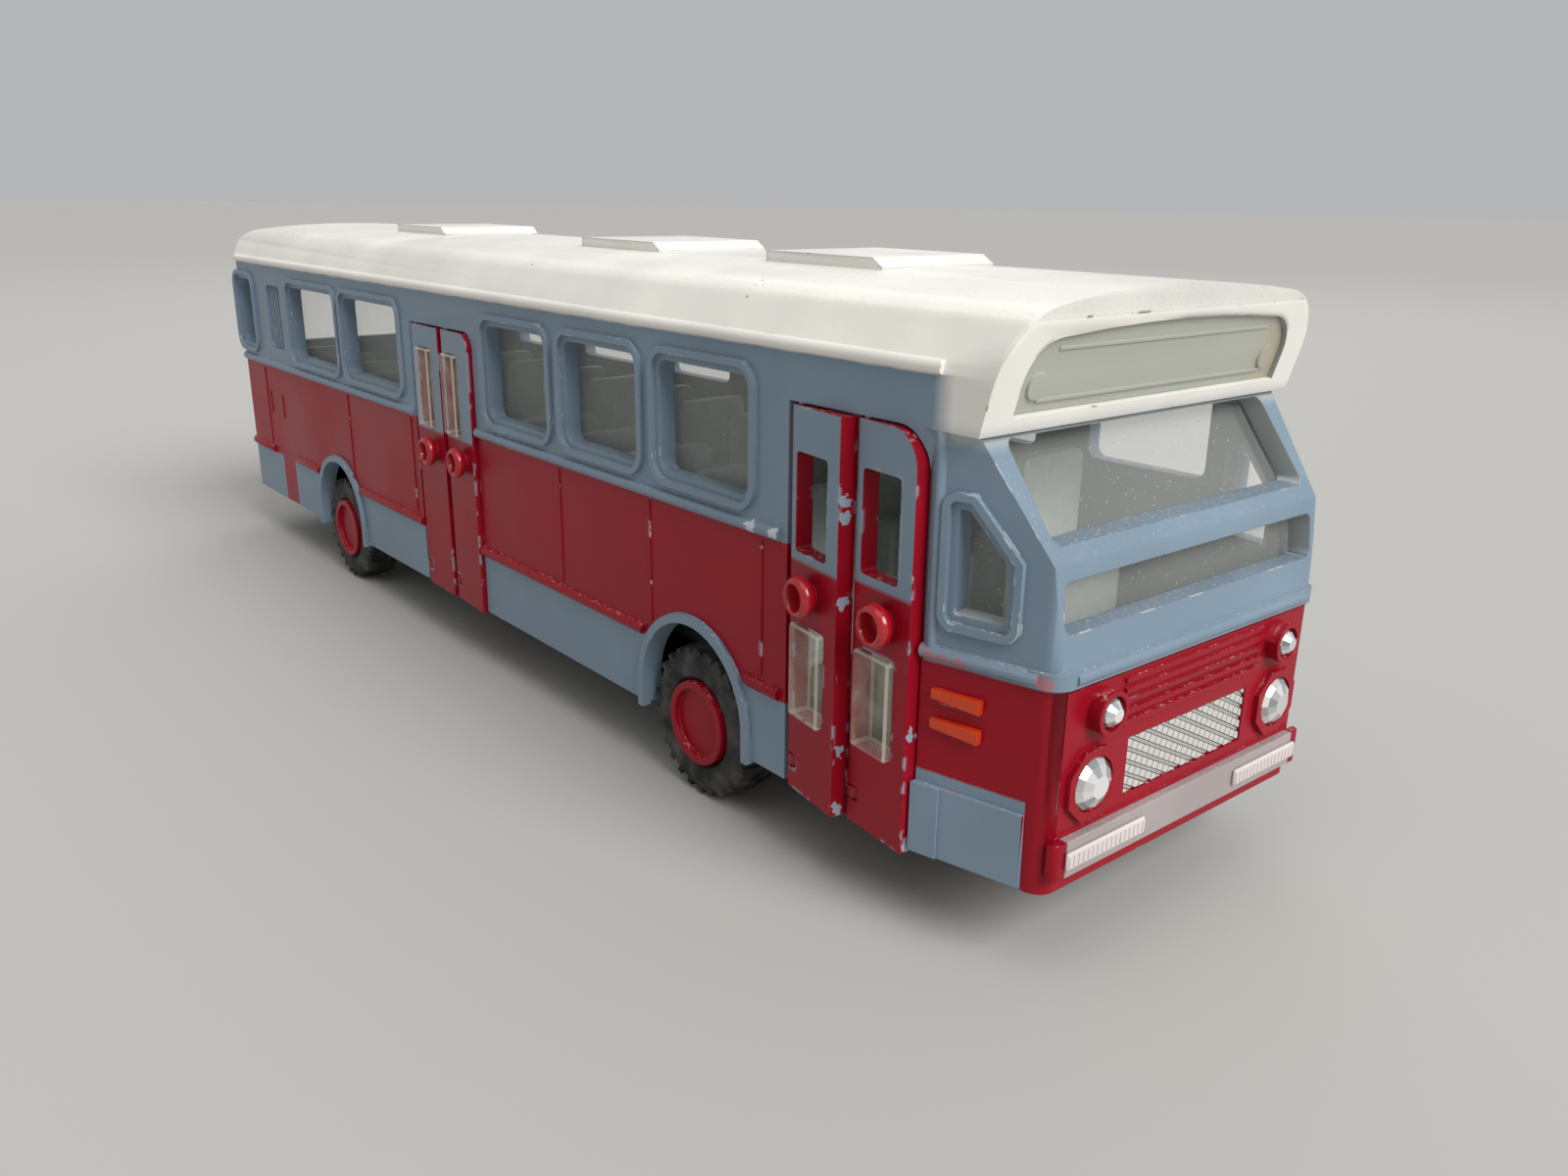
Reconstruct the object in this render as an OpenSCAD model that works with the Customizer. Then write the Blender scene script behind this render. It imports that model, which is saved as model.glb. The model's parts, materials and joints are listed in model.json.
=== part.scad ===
// Die-cast toy city bus with two pairs of hinged door leaves and two rolling axles.
// +X points to the front, +Y to the left side, +Z up; the wheels stand on z = 0.

/* [Body] */
// Length from the rear bumper to the front bumper
body_l = 219; // [210:1:230]
// Width over the side panels
body_w = 50; // [48:0.5:56]
// Height of the skirt's lower edge above the ground
skirt_z = 9.2; // [8.6:0.1:9.8]
// Height of the lower skirt, up to the lower rail
skirt_h = 9.8; // [9.4:0.1:11]
// Height of the side panels, from the lower rail to the waist rail
panel_h = 18.1; // [17:0.1:20]
// Height from the waist rail to the window frames
sill_h = 1.4; // [1.2:0.1:2.2]
// Height of the window frames
window_h = 16.2; // [14.5:0.1:18]
// Height from the window frames to the gutter
header_h = 2.4; // [2:0.1:3.4]
// Height of the roof's crown above the gutter
roof_rise = 6.7; // [6.2:0.1:8]
// Radius of the roof's long edges
roof_edge_r = 7; // [5.5:0.1:8]
// Radius of the roof's crown
roof_crown_r = 150; // [110:1:250]
// Radius of the roof's front edge, over the destination box
roof_front_r = 1.8; // [1.2:0.1:2.2]
// Thickness of the casting's walls
wall = 2.2; // [2:0.1:2.5]

/* [Nose] */
// Length over which the sides draw in towards the front
taper_l = 14.75; // [13:0.25:16]
// How far each side draws in
taper_w = 3.4; // [2.6:0.1:4]
// Radius of the front corners
nose_corner_r = 2; // [1.6:0.1:2.6]
// Height of the front belt above the lower rail
belt_rise = 11.6; // [11:0.1:13]
// Height of the nose bar above the belt
nose_rise = 10.4; // [9.8:0.1:11.5]
// How far the nose bar lies behind the front panel
nose_back = 1.3; // [0.8:0.1:1.8]
// How far the windscreen's top lies behind the front panel
screen_back = 9.2; // [8.6:0.1:10]
// How far the destination box hangs below the gutter
box_drop = 5.6; // [5.2:0.1:6.2]
// How far the destination box's lower edge lies behind the front panel
box_back = 8.2; // [7.6:0.1:8.5]
// How far the destination box leans forward at the roof
box_lean = 3.4; // [2.6:0.1:4]

/* [Windows and doors] */
// Number of windows between the doors
front_row_count = 3; // [2:1:4]
// Number of windows behind the middle door
rear_row_count = 2; // [2:1:3]
// Distance from the front of the bus to the front door
door_setback = 14.8; // [14.4:0.1:16]
// Width of the front doorway
front_door_w = 19.8; // [18.6:0.1:20.6]
// Place of the middle door's front edge, as a share of the way from the rear axle to the front one
mid_door_share = 0.5194; // [0.5:0.001:0.54]
// Width of the middle doorway
mid_door_w = 21.6; // [19:0.1:23]
// Height of the doorways' top edge above the waist rail
door_rise = 14.4; // [13.6:0.1:15.4]
// Thickness of the door leaves
leaf_t = 2; // [1.7:0.1:2.1]
// Radius of the window frames' corners
frame_r = 3; // [2.4:0.1:3.6]
// Width of the raised window beads
bead_w = 0.8; // [0.6:0.1:1]
// How far the frames stand proud of the side
bead_h = 0.6; // [0.4:0.1:0.8]

/* [Wheels] */
// Radius of the tyres
tyre_r = 9.7; // [9.3:0.1:9.9]
// Width of the tyres
tyre_w = 6.2; // [5.4:0.1:6.6]
// Radius of the hubs
hub_r = 5.3; // [4.8:0.1:5.8]
// Radius of the axles
axle_r = 1; // [0.9:0.05:1.2]
// Distance from the front of the bus to the front axle
front_overhang = 51.9; // [51:0.1:54]
// Distance from the rear of the bus to the rear axle
rear_overhang = 53.5; // [51:0.5:55]
// Gap between the tyres and the wheel arches' straight legs
arch_gap = 0.5; // [0.4:0.1:0.8]
// Height of the wheel arches' centre above the axles
arch_rise = 2.6; // [2:0.1:3]

/* [Door angles at rest] */
// Opening of the front door's rear leaf
front_door_rear_angle = 9; // [0:1:20]
// Opening of the front door's front leaf
front_door_front_angle = 6; // [0:1:20]
// Opening of the middle door's rear leaf
mid_door_rear_angle = 1; // [0:1:20]
// Opening of the middle door's front leaf
mid_door_front_angle = 3; // [0:1:20]

/* [Hidden] */
$fn = 96;

// Overrun of every cut past the faces that it opens
overrun = 5;
// Gap between pieces that are set into one another
seat_gap = 0.05;
// Radial clearance of the pins and axles that turn
running_gap = 0.05;
// Gap around the door leaves
leaf_gap = 0.25;

// Levels, from the ground up
rail_z = skirt_z + skirt_h;
waist_z = rail_z + panel_h;
window_z = waist_z + sill_h;
gutter_z = window_z + window_h + header_h;
roof_z = gutter_z + roof_rise;
belt_z = rail_z + belt_rise;
nose_z = belt_z + nose_rise;
box_z = gutter_z - box_drop;
door_top_z = waist_z + door_rise;
wheel_z = tyre_r;

// Stations along the bus
bumper_proud = 1;
front_x = body_l / 2;
rear_x = -body_l / 2;
panel_x = front_x - bumper_proud;
back_x = rear_x + bumper_proud;
nose_x = panel_x - nose_back;
screen_x = panel_x - screen_back;
box_x = panel_x - box_back;
taper_x = panel_x - taper_l;
front_wheel_x = front_x - front_overhang;
rear_wheel_x = rear_x + rear_overhang;
front_door_x = front_x - door_setback;
mid_door_x = rear_wheel_x + mid_door_share * (front_wheel_x - rear_wheel_x);
side_y = body_w / 2;
inner_y = side_y - wall;
rear_corner_r = 4;
roof_rear_r = 5;

// Slopes of the front: run in x for each unit of height
nose_slope = nose_back / nose_rise;
screen_slope = (nose_x - screen_x) / (box_z - nose_z);
screen_angle = atan(screen_slope);
box_angle = atan(box_lean / (roof_z - box_z));
taper_angle = atan(taper_w / taper_l);
// Shift in x that moves the sloping screen inwards by one wall
screen_shift = 1 / cos(screen_angle);

// Window places along the side
pillar_w = 5.2;
mid_pillar_w = 3.1;
rear_pillar_w = 3.4;
window_gap = 1.8;
rear_gap = 1.2;
vent_w = 12;
vent_gap = 2.1;
corner_post = 1.3;
corner_window_w = 12.4;
corner_gap = 5.2;
shelf = 0.8;
opening_r = frame_r - bead_w - shelf;
bead_sink = 0.5;
front_row_x = front_door_x - front_door_w - pillar_w;
front_row_l = front_row_x - mid_door_x - mid_pillar_w;
front_row_w = (front_row_l - (front_row_count - 1) * window_gap) / front_row_count;
corner_x = back_x + corner_post + corner_window_w;
vent_x = corner_x + corner_gap + vent_w;
rear_row_x = mid_door_x - mid_door_w - rear_pillar_w;
rear_row_w = (rear_row_x - vent_x - vent_gap - (rear_row_count - 1) * rear_gap) / rear_row_count;
// Front edges and widths of the windows that both sides have
side_windows = concat(
    [for (i = [0:front_row_count - 1]) [front_row_x - i * (front_row_w + window_gap), front_row_w]],
    [for (i = [0:rear_row_count - 1]) [rear_row_x - i * (rear_row_w + rear_gap), rear_row_w]],
    [[corner_x, corner_window_w]]
);
// Front edges and widths of the windows that fill the left side's door places
left_windows = [[front_door_x, front_door_w], [mid_door_x, mid_door_w]];

// Rails, beads and arch lips
waist_r = 0.75;
rail_r = 0.8;
gutter_r = 0.7;
belt_r = 0.8;
bead_inset = 0.15;
rail_end_gap = 1;
post_r = 0.6;
post_gap = 1.1;
rail_arch_gap = 1.2;
// Engine hatch in the rear overhang: a break in the rail, and two short ribs over it
engine_hatch_start = 16;
engine_hatch_l = 14;
hatch_rib_w = 1;
hatch_rib_l = 4.6;
hatch_rib_rise = 7.6;
hatch_rib_gap = 6;
arch_r = tyre_r + arch_gap;
arch_z = wheel_z + arch_rise;
lip_w = 1.1;
lip_h = 0.7;
lip_drop = 0.5;
seam_w = 0.4;
seam_h = 0.15;
seam_margin = 1.2;
vent_depth = 1.2;
vent_margin = 2;
vent_rib_w = 0.7;
vent_rib_count = 4;
vent_rib_h = 0.8;

// Front skirt and side indicators
apron_rise = 7.8;
apron_z = skirt_z + apron_rise;
apron_h = 0.4;
apron_back = 0.6;
apron_lift = 0.3;
apron_post_w = 3;
apron_post_h = 0.7;
indicator_l = 5.2;
indicator_h = 1.3;
indicator_proud = 0.5;
indicator_gap = 3;
indicator_drop = 4.8;
indicator_setback = 1.6;

// Quarter windows, measured from the front doorway's front edge
quarter_gap = 1.7;
quarter_l = 8.4;
quarter_z = 2.6;
quarter_h = 13.1;
quarter_slant_l = 5.1;
quarter_slant_h = 5.4;
quarter_r = 1.6;

// Windscreen openings and glazing
screen_inset = 0.8;
screen_half_w = side_y - taper_w - screen_inset;
screen_top_gap = 0.5;
screen_low_gap = 1.4;
nose_bar_h = 1.5;
low_screen_h = 4.8;
screen_r = 1;
glass_t = 1;
glass_lap = 1.2;
strip_rear_x = back_x + wall + glass_t + seat_gap + rear_corner_r;

// Destination box
sign_inset = 3.8;
sign_half_w = side_y - sign_inset;
sign_margin = 1.5;
sign_top_gap = 3.3;
sign_height = (roof_z - box_z) / cos(box_angle) - sign_top_gap;
sign_r = 4.2;
sign_crown_r = 200;
sign_depth = 1.2;
sign_t = 0.7;
sign_boss_r = 1.3;
sign_boss_h = 0.3;
sign_boss_inset = 2.6;

// Roof hatches: the first one's front edge lies ahead of the front axle
hatch_l = 20;
hatch_half_w = 9;
hatch_h = 1;
hatch_sink = 1;
hatch_slope = 1.6;
hatch_lead = 13.4;
hatch_pitch = 43;
rear_hatch_pitch = 66.4;
first_hatch_x = front_wheel_x + hatch_lead;
second_hatch_x = first_hatch_x - hatch_pitch;
hatch_places = [first_hatch_x, second_hatch_x, second_hatch_x - rear_hatch_pitch];

// Front panel and its lamps
panel_inset = 1.3;
panel_half_w = side_y - taper_w - panel_inset;
panel_t = 1.5;
panel_rise = 6;
panel_low_z = skirt_z + panel_rise;
panel_top_gap = 1.2;
panel_top_z = belt_z - panel_top_gap;
lamp_inset = 4.4;
lamp_y = panel_half_w - lamp_inset;
lamp_rise = 4.2;
lamp_z = panel_low_z + lamp_rise;
lamp_r = 2.75;
lamp_ring_r = 3.9;
lamp_ring_sides = 8;
lamp_ring_h = 0.6;
lamp_seat = 0.9;
lamp_dome = 0.8;
upper_lamp_inset = 5.2;
upper_lamp_y = panel_half_w - upper_lamp_inset;
upper_lamp_rise = 7.2;
upper_lamp_z = lamp_z + upper_lamp_rise;
upper_lamp_r = 1.65;
upper_ring_r = 2.2;
upper_ring_h = 1.5;
grille_lamp_gap = 1.8;
grille_half_w = lamp_y - lamp_ring_r - grille_lamp_gap;
grille_rise = 1.1;
grille_z = panel_low_z + grille_rise;
grille_h = 6;
grille_t = 0.8;
grille_bar = 0.5;
grille_pitch = 1.2;
louvre_over = 1.6;
louvre_half_w = grille_half_w + louvre_over;
louvre_gap = 1.7;
louvre_z = grille_z + grille_h + louvre_gap;
louvre_pitch = 1.1;
louvre_h = 0.35;
louvre_bar = 0.55;
louvre_count = 5;

// Bumpers
bumper_rise = 1.8;
bumper_z = skirt_z + bumper_rise;
bumper_h = 3.8;
bumper_half_w = side_y - taper_w;
bumper_r = 0.9;
pad_l = 12;
pad_end = 1.6;
pad_in_y = bumper_half_w - pad_end - pad_l;
pad_h = 1.8;
pad_z = bumper_z + (bumper_h - pad_h) / 2;
pad_proud = 0.5;
rear_lamp_inset = 2.5;
rear_lamp_y = side_y - rear_corner_r - rear_lamp_inset;
rear_lamp_r = 1.6;
rear_lamp_h = 0.7;
rear_lamp_rise = 3.5;
rear_lamp_pitch = 4;
rear_screen_inset = 8;
rear_screen_half_w = side_y - rear_screen_inset;

// Wheels
hub_inset = 0.1;
hub_face_y = side_y - hub_inset;
hub_proud = 0.4;
hub_rim = 1;
hub_dish = 0.8;
hub_back = 1;
wheel_back_y = hub_face_y - hub_proud - tyre_w;
tyre_shoulder = 1.4;

// Baseplate, its bearings and its screws
plate_t = 1.2;
plate_gap = 0.2;
plate_rise = 1.9;
plate_z = wheel_z + plate_rise;
well_l = 1.6;
well_gap = 1.7;
well_y = wheel_back_y - well_gap;
bearing_t = 1.6;
bearing_y = well_y - bearing_t;
bearing_l = 5;
bearing_drop = 1.2;
bearing_z = wheel_z - axle_r - bearing_drop;
bearing_gap = 0.3;
hub_boss_r = plate_rise - bearing_gap;
lug_r = 1;
screw_block_l = 6;
screw_block_w = 8;
screw_block_h = 5;
screw_r = 1.2;
screw_head_r = 2.3;
screw_head_h = 0.9;
screw_l = 4;
front_screw_x = panel_x - wall - screw_block_l / 2;
rear_screw_x = back_x + wall + screw_block_l / 2;

// Door leaves
pin_r = 0.5;
pin_l = 3;
pin_reach = 1.2;
leaf_drop = 0.25;
leaf_low_z = skirt_z - leaf_drop;
leaf_top_z = door_top_z - leaf_gap;
lower_pin_h = plate_z + plate_t + pin_l / 2 - leaf_low_z;
front_door_r = 4;
mid_door_r = 2.5;
front_light_w = 5.8;
mid_light_w = 4.8;
light_margin = 1.6;
light_r = 0.5;
front_upper_drop = 4.6;
front_upper_h = 10.5;
front_lower_rise = 9;
front_lower_h = 10.6;
mid_upper_drop = 3.3;
mid_upper_h = 12.3;
mid_rear_margin = 2.9;
insert_proud = 0.8;
knob_r = 2.3;
knob_l = 2.4;
knob_wall = 0.65;
knob_depth = 1.2;
knob_dot_r = 0.5;
knob_dot_h = 0.5;
knob_drop = 5;
knob_z = waist_z - knob_drop;
front_rear_knob_share = 0.48;
front_front_knob_share = 0.6;
mid_knob_share = 0.65;
front_leaf_l = (front_door_w - 3 * leaf_gap) / 2;
mid_leaf_l = (mid_door_w - 3 * leaf_gap) / 2;
leaf_proud = 0.2;
hinge_y = leaf_t / 2 - side_y - leaf_proud;

// Lights of the leaves as [lower edge, height]; the last light of a leaf holds its insert
front_lights = [
    [leaf_top_z - front_upper_drop - front_upper_h, front_upper_h],
    [leaf_low_z + front_lower_rise, front_lower_h],
];
mid_lights = [[leaf_top_z - mid_upper_drop - mid_upper_h, mid_upper_h]];
// Each leaf: rear edge, length, angle at rest, radius of the front top corner, margin and width of its
// lights, its lights, and the knob's place as a share of the length
front_rear_leaf_x = front_door_x - front_door_w + leaf_gap;
mid_rear_leaf_x = mid_door_x - mid_door_w + leaf_gap;
front_rear = [
    front_rear_leaf_x, front_leaf_l, front_door_rear_angle,
    0, light_margin, front_light_w, front_lights, front_rear_knob_share
];
front_front = [
    front_rear_leaf_x + front_leaf_l + leaf_gap, front_leaf_l, front_door_front_angle,
    front_door_r - leaf_gap, light_margin, front_light_w, front_lights, front_front_knob_share
];
mid_rear = [
    mid_rear_leaf_x, mid_leaf_l, mid_door_rear_angle,
    0, mid_rear_margin, mid_light_w, mid_lights, mid_knob_share
];
mid_front = [
    mid_rear_leaf_x + mid_leaf_l + leaf_gap, mid_leaf_l, mid_door_front_angle,
    mid_door_r - leaf_gap, light_margin, mid_light_w, mid_lights, mid_knob_share
];
leaves = [front_rear, front_front, mid_rear, mid_front];

// Seats
floor_rise = 2.2;
floor_z = rail_z + floor_rise;
floor_t = 1;
floor_gap = 0.4;
floor_front = 5;
rib_y = 12.5;
rib_t = 1.2;
step_y = 14;
step_margin = 0.8;
seat_pitch = 14.5;
seat_l = 7;
seat_h = 6.5;
seat_back_t = 1.8;
seat_back_h = 17;
seat_aisle = 7.5;
seat_side_gap = 1;
seat_r = 1.5;
seat_front_gap = 3;
seat_rear_gap = 4;
driver_setback = 31;
driver_w = 11;
driver_side_gap = 5.8;
driver_y = inner_y - driver_side_gap - driver_w;
driver_back_h = 20.5;
driver_l = 8.5;
driver_seat_h = 8;

red = "#a51f2c";
blue_grey = "#7f93a6";
cream = "#e4e1d8";
silver = "#b9b4b0";
clear = "#c9cdc6";
black = "#1b1b1d";
steel = "#9a9a9a";
seat_green = "#9aa8a2";

// Flat outlines

// Rectangle with rounded corners, from its lower corner
module round_rect(size, r) {
    translate([r, 0]) square([size.x - 2 * r, size.y]);
    translate([0, r]) square([size.x, size.y - 2 * r]);
    for (x = [r, size.x - r], y = [r, size.y - r]) translate([x, y]) circle(r);
}

// Straight sides, rounded shoulders and a crowned top, tangent to one another
module crowned(half_w, low, top, r, crown_r) {
    shoulder = top - crown_r + sqrt((crown_r - r) ^ 2 - (half_w - r) ^ 2);
    crown_half = crown_r * (half_w - r) / (crown_r - r);
    translate([-half_w, low]) square([2 * half_w, shoulder - low]);
    for (s = [-1, 1]) translate([s * (half_w - r), shoulder]) circle(r);
    intersection() {
        translate([0, top - crown_r]) circle(crown_r, $fn = 360);
        translate([-crown_half, low]) square([2 * crown_half, top - low + r]);
    }
}

// Plan of the lower body, drawn in by an inset
module nose_plan(inset) {
    r = max(nose_corner_r - inset, seat_gap);
    half = side_y - inset;
    front = panel_x - inset;
    // Centre of the corner, a radius inside the front and the tapered side
    cx = front - r;
    cy = half - (r + (cx - taper_x) * sin(taper_angle)) / cos(taper_angle);
    touch = [cx + r * sin(taper_angle), cy + r * cos(taper_angle)];
    rear = back_x + inset;
    rr = rear_corner_r - inset;
    for (s = [0, 1]) mirror([0, s]) {
        polygon([
            [rear, 0], [rear, half - rr], [rear + rr, half], [taper_x, half], touch,
            [front, cy], [front, 0]
        ]);
        translate([cx, cy]) circle(r);
        translate([rear + rr, half - rr]) circle(rr);
    }
}

// Plan of the roof, with square front corners
module roof_plan(inset) {
    half = side_y - inset;
    rear = back_x + inset;
    rr = rear_corner_r - inset;
    for (s = [0, 1]) mirror([0, s]) {
        polygon([[rear, 0], [rear, half - rr], [rear + rr, half], [front_x, half], [front_x, 0]]);
        translate([rear + rr, half - rr]) circle(rr);
    }
}

// Side view of the lower body, up to the destination box
module low_profile(inset, low) {
    lift = inset * (screen_shift - 1) / (screen_slope - nose_slope);
    rear = back_x + inset;
    polygon([
        [rear, low], [panel_x - inset, low], [panel_x - inset, belt_z],
        [nose_x - inset + lift * nose_slope, nose_z - lift],
        [screen_x - inset * screen_shift, box_z], [screen_x - inset * screen_shift, box_z + wall],
        [rear, box_z + wall]
    ]);
}

// Side view of the roof, with the leaning destination box in front
module high_profile() {
    r = roof_rear_r;
    cz = roof_z - roof_front_r;
    cx = box_x + ((cz - box_z) * sin(box_angle) - roof_front_r) / cos(box_angle);
    polygon([
        [back_x, box_z], [box_x, box_z],
        [cx + roof_front_r * cos(box_angle), cz - roof_front_r * sin(box_angle)], [cx, roof_z],
        [back_x + r, roof_z], [back_x, roof_z - r]
    ]);
    translate([cx, cz]) circle(roof_front_r);
    translate([back_x + r, roof_z - r]) circle(r);
}

// Side view of the cavity under the roof, drawn in by an inset
module high_cavity(inset) {
    r = roof_rear_r - inset;
    rear = back_x + inset;
    front = screen_x - inset * screen_shift;
    polygon([
        [rear, box_z - inset], [front, box_z - inset], [front, roof_z],
        [rear + r, roof_z], [rear + r, roof_z - inset], [rear, roof_z - inset - r]
    ]);
    translate([rear + r, roof_z - inset - r]) circle(r);
}

// Outline of a doorway, with its front top corner rounded
module door_outline(w, low, top, r) {
    translate([0, low]) square([w - r, top - low]);
    translate([0, low]) square([w, top - r - low]);
    translate([w - r, top - r]) circle(r);
}

// Outline of a wheel arch with straight legs that end at a low edge
module arch_outline(r, low) {
    translate([-r, low]) square([2 * r, arch_z - low]);
    intersection() {
        translate([0, arch_z]) circle(r);
        translate([-r, low]) square([2 * r, arch_z + r + overrun - low]);
    }
}

// Outline of a quarter window, from its lower rear corner, drawn in by an inset
module quarter_outline(inset) {
    l = quarter_l - inset;
    h = quarter_h - inset;
    r = max(quarter_r - inset, seat_gap);
    slant = quarter_slant_l / quarter_slant_h;
    cut = quarter_l - quarter_slant_l - inset * (sqrt(1 + slant ^ 2) - slant);
    difference() {
        union() {
            translate([inset + r, inset]) square([l - inset - 2 * r, h - inset]);
            translate([inset, inset + r]) square([l - inset, h - inset - 2 * r]);
            for (x = [inset + r, l - r], y = [inset + r, h - r]) translate([x, y]) circle(r);
        }
        polygon([
            [cut, h], [cut + slant * (quarter_slant_h + overrun), h - quarter_slant_h - overrun],
            [l + overrun, h + overrun], [cut, h + overrun]
        ]);
    }
}

// Placing outlines in space

// Extrude an outline of y and z along x
module along_x(x0, x1) {
    translate([x0, 0, 0]) rotate([90, 0, 90]) linear_extrude(x1 - x0) children();
}

// Extrude an outline of x and z along y
module along_y(y0, y1) {
    translate([0, y1, 0]) rotate([90, 0, 0]) linear_extrude(y1 - y0) children();
}

// Extrude an outline of x and z outwards from a depth below one side; s is -1 on the right
module on_side(s, sink, proud) {
    if (s < 0) along_y(-side_y - proud, -side_y + sink) children();
    else along_y(side_y - sink, side_y + proud) children();
}

// Place a shape on the tapered cheek: x runs forwards from the taper's start, y outwards
module on_cheek(s) {
    mirror([0, s < 0 ? 1 : 0, 0])
        translate([taper_x, side_y, 0]) rotate([0, 0, -taper_angle]) children();
}

// Half-round bead round the back and along both sides, to its front end on the right and on the left
module round_bead(z, r, right_end, left_end) {
    y = side_y - bead_inset;
    rr = rear_corner_r;
    x = back_x + bead_inset;
    for (run = [[-y, right_end], [y, left_end]])
        translate([back_x + rr, run[0], z]) rotate([0, 90, 0]) cylinder(r = r, h = run[1] - back_x - rr);
    translate([x, -side_y + rr, z]) rotate([-90, 0, 0]) cylinder(r = r, h = 2 * (side_y - rr));
    for (s = [0, 1]) mirror([0, s, 0])
        translate([back_x + rr, side_y - rr, z]) rotate([0, 0, 90])
            rotate_extrude(angle = 90) translate([rr - bead_inset, 0]) circle(r);
}

// The body casting

// Outer form, or the cavity when an inset is given
module body_form(inset) {
    low = inset > 0 ? skirt_z - overrun : skirt_z;
    intersection() {
        along_x(rear_x, front_x)
            crowned(side_y - inset, low, roof_z - inset, roof_edge_r - inset, roof_crown_r);
        translate([0, 0, low]) linear_extrude(roof_z) nose_plan(inset);
        along_y(-side_y, side_y) low_profile(inset, low);
    }
    intersection() {
        along_x(rear_x, front_x)
            crowned(side_y - inset, low, roof_z - inset, roof_edge_r - inset, roof_crown_r);
        translate([0, 0, low]) linear_extrude(roof_z) roof_plan(inset);
        along_y(-side_y, side_y) {
            if (inset > 0) high_cavity(inset);
            else high_profile();
        }
    }
}

// Window outline at its front edge x, drawn in by an inset
module window_outline(place, inset, r) {
    translate([place[0] - place[1] + inset, window_z + inset])
        round_rect([place[1] - 2 * inset, window_h - 2 * inset], r);
}

function windows_of(s) = s < 0 ? side_windows : concat(side_windows, left_windows);

module window_beads() {
    for (s = [-1, 1], place = windows_of(s)) on_side(s, bead_sink, bead_h) difference() {
        window_outline(place, 0, frame_r);
        window_outline(place, bead_w, frame_r - bead_w);
    }
}

module window_openings() {
    for (s = [-1, 1], place = windows_of(s)) on_side(s, wall + overrun, overrun)
        window_outline(place, bead_w + shelf, opening_r);
    along_x(rear_x - overrun, back_x + overrun) translate([-rear_screen_half_w, window_z + bead_w])
        round_rect([2 * rear_screen_half_w, window_h - 2 * bead_w], opening_r);
}

// Recess of the ribbed vent behind the last window
module vent_recess(s) {
    on_side(s, vent_depth, overrun) translate([vent_x - vent_w + vent_margin, window_z + vent_margin])
        round_rect([vent_w - 2 * vent_margin, window_h - 2 * vent_margin], opening_r);
}

module vent_ribs(s) {
    span = vent_w - 2 * vent_margin;
    x0 = vent_x - vent_w + vent_margin - vent_rib_w / 2;
    for (i = [1:vent_rib_count]) on_side(s, vent_depth + bead_sink, vent_rib_h - vent_depth)
        translate([x0 + i * span / (vent_rib_count + 1), window_z + vent_margin - bead_sink])
            square([vent_rib_w, window_h - 2 * (vent_margin - bead_sink)]);
}

module doorways() {
    on_side(-1, wall + overrun, overrun) {
        translate([front_door_x - front_door_w, 0])
            door_outline(front_door_w, skirt_z - overrun, door_top_z, front_door_r);
        translate([mid_door_x - mid_door_w, 0])
            door_outline(mid_door_w, skirt_z - overrun, door_top_z, mid_door_r);
    }
}

module arches(x) {
    for (s = [-1, 1]) on_side(s, bead_sink, lip_h) translate([x, 0]) difference() {
        arch_outline(arch_r + lip_w, skirt_z - lip_drop);
        arch_outline(arch_r, skirt_z - overrun);
    }
}

module arch_openings(x) {
    for (s = [-1, 1]) on_side(s, wall + overrun, overrun)
        translate([x, 0]) arch_outline(arch_r, skirt_z - overrun);
}

// Lower rail, which stops short of the arches
module lower_rail() {
    difference() {
        round_bead(rail_z, rail_r, front_door_x - front_door_w - rail_end_gap, taper_x);
        for (s = [-1, 1], x = [front_wheel_x, rear_wheel_x]) on_side(s, overrun, overrun)
            translate([x, 0]) arch_outline(arch_r + lip_w + rail_arch_gap, skirt_z);
        for (s = [-1, 1]) on_side(s, overrun, overrun)
            translate([back_x + engine_hatch_start, skirt_z])
                square([engine_hatch_l, skirt_h + 2 * rail_r]);
    }
}

// Short upright ribs over the engine hatch
module hatch_ribs() {
    for (s = [-1, 1], i = [0, 1]) on_side(s, bead_sink, seam_h)
        translate([
            back_x + engine_hatch_start + i * (hatch_rib_w + hatch_rib_gap),
            rail_z + hatch_rib_rise
        ]) square([hatch_rib_w, hatch_rib_l]);
}

// Upright seams of the side panels, under the window posts
module panel_seams() {
    posts = [for (place = side_windows) place[0] + window_gap / 2];
    for (s = [-1, 1], x = posts) on_side(s, bead_sink, seam_h)
        translate([x - seam_w / 2, rail_z + seam_margin]) square([seam_w, panel_h - 2 * seam_margin]);
}

// Belt round the nose, from the front door to the other side
module nose_belt() {
    run = taper_l / cos(taper_angle) - nose_corner_r;
    for (s = [-1, 1]) on_cheek(s) translate([0, -bead_inset, belt_z])
        rotate([0, 90, 0]) cylinder(r = belt_r, h = run);
    translate([panel_x - bead_inset, -side_y + taper_w + nose_corner_r, belt_z])
        rotate([-90, 0, 0]) cylinder(r = belt_r, h = 2 * (side_y - taper_w - nose_corner_r));
    intersection() {
        along_y(-side_y, side_y) translate([taper_x, belt_z - belt_r])
            square([taper_l + belt_r, 2 * belt_r]);
        linear_extrude(roof_z) nose_plan(-belt_r / 2);
        translate([panel_x - nose_corner_r - belt_r, -side_y, 0])
            cube([nose_corner_r + 2 * belt_r, body_w, roof_z]);
    }
}

// Upright bead in front of the front door, from the gutter to the belt
module door_post_bead() {
    for (s = [-1, 1]) on_cheek(s) translate([front_door_x + post_gap - taper_x, -bead_inset, belt_z])
        cylinder(r = post_r, h = box_z + header_h - belt_z);
}

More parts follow.
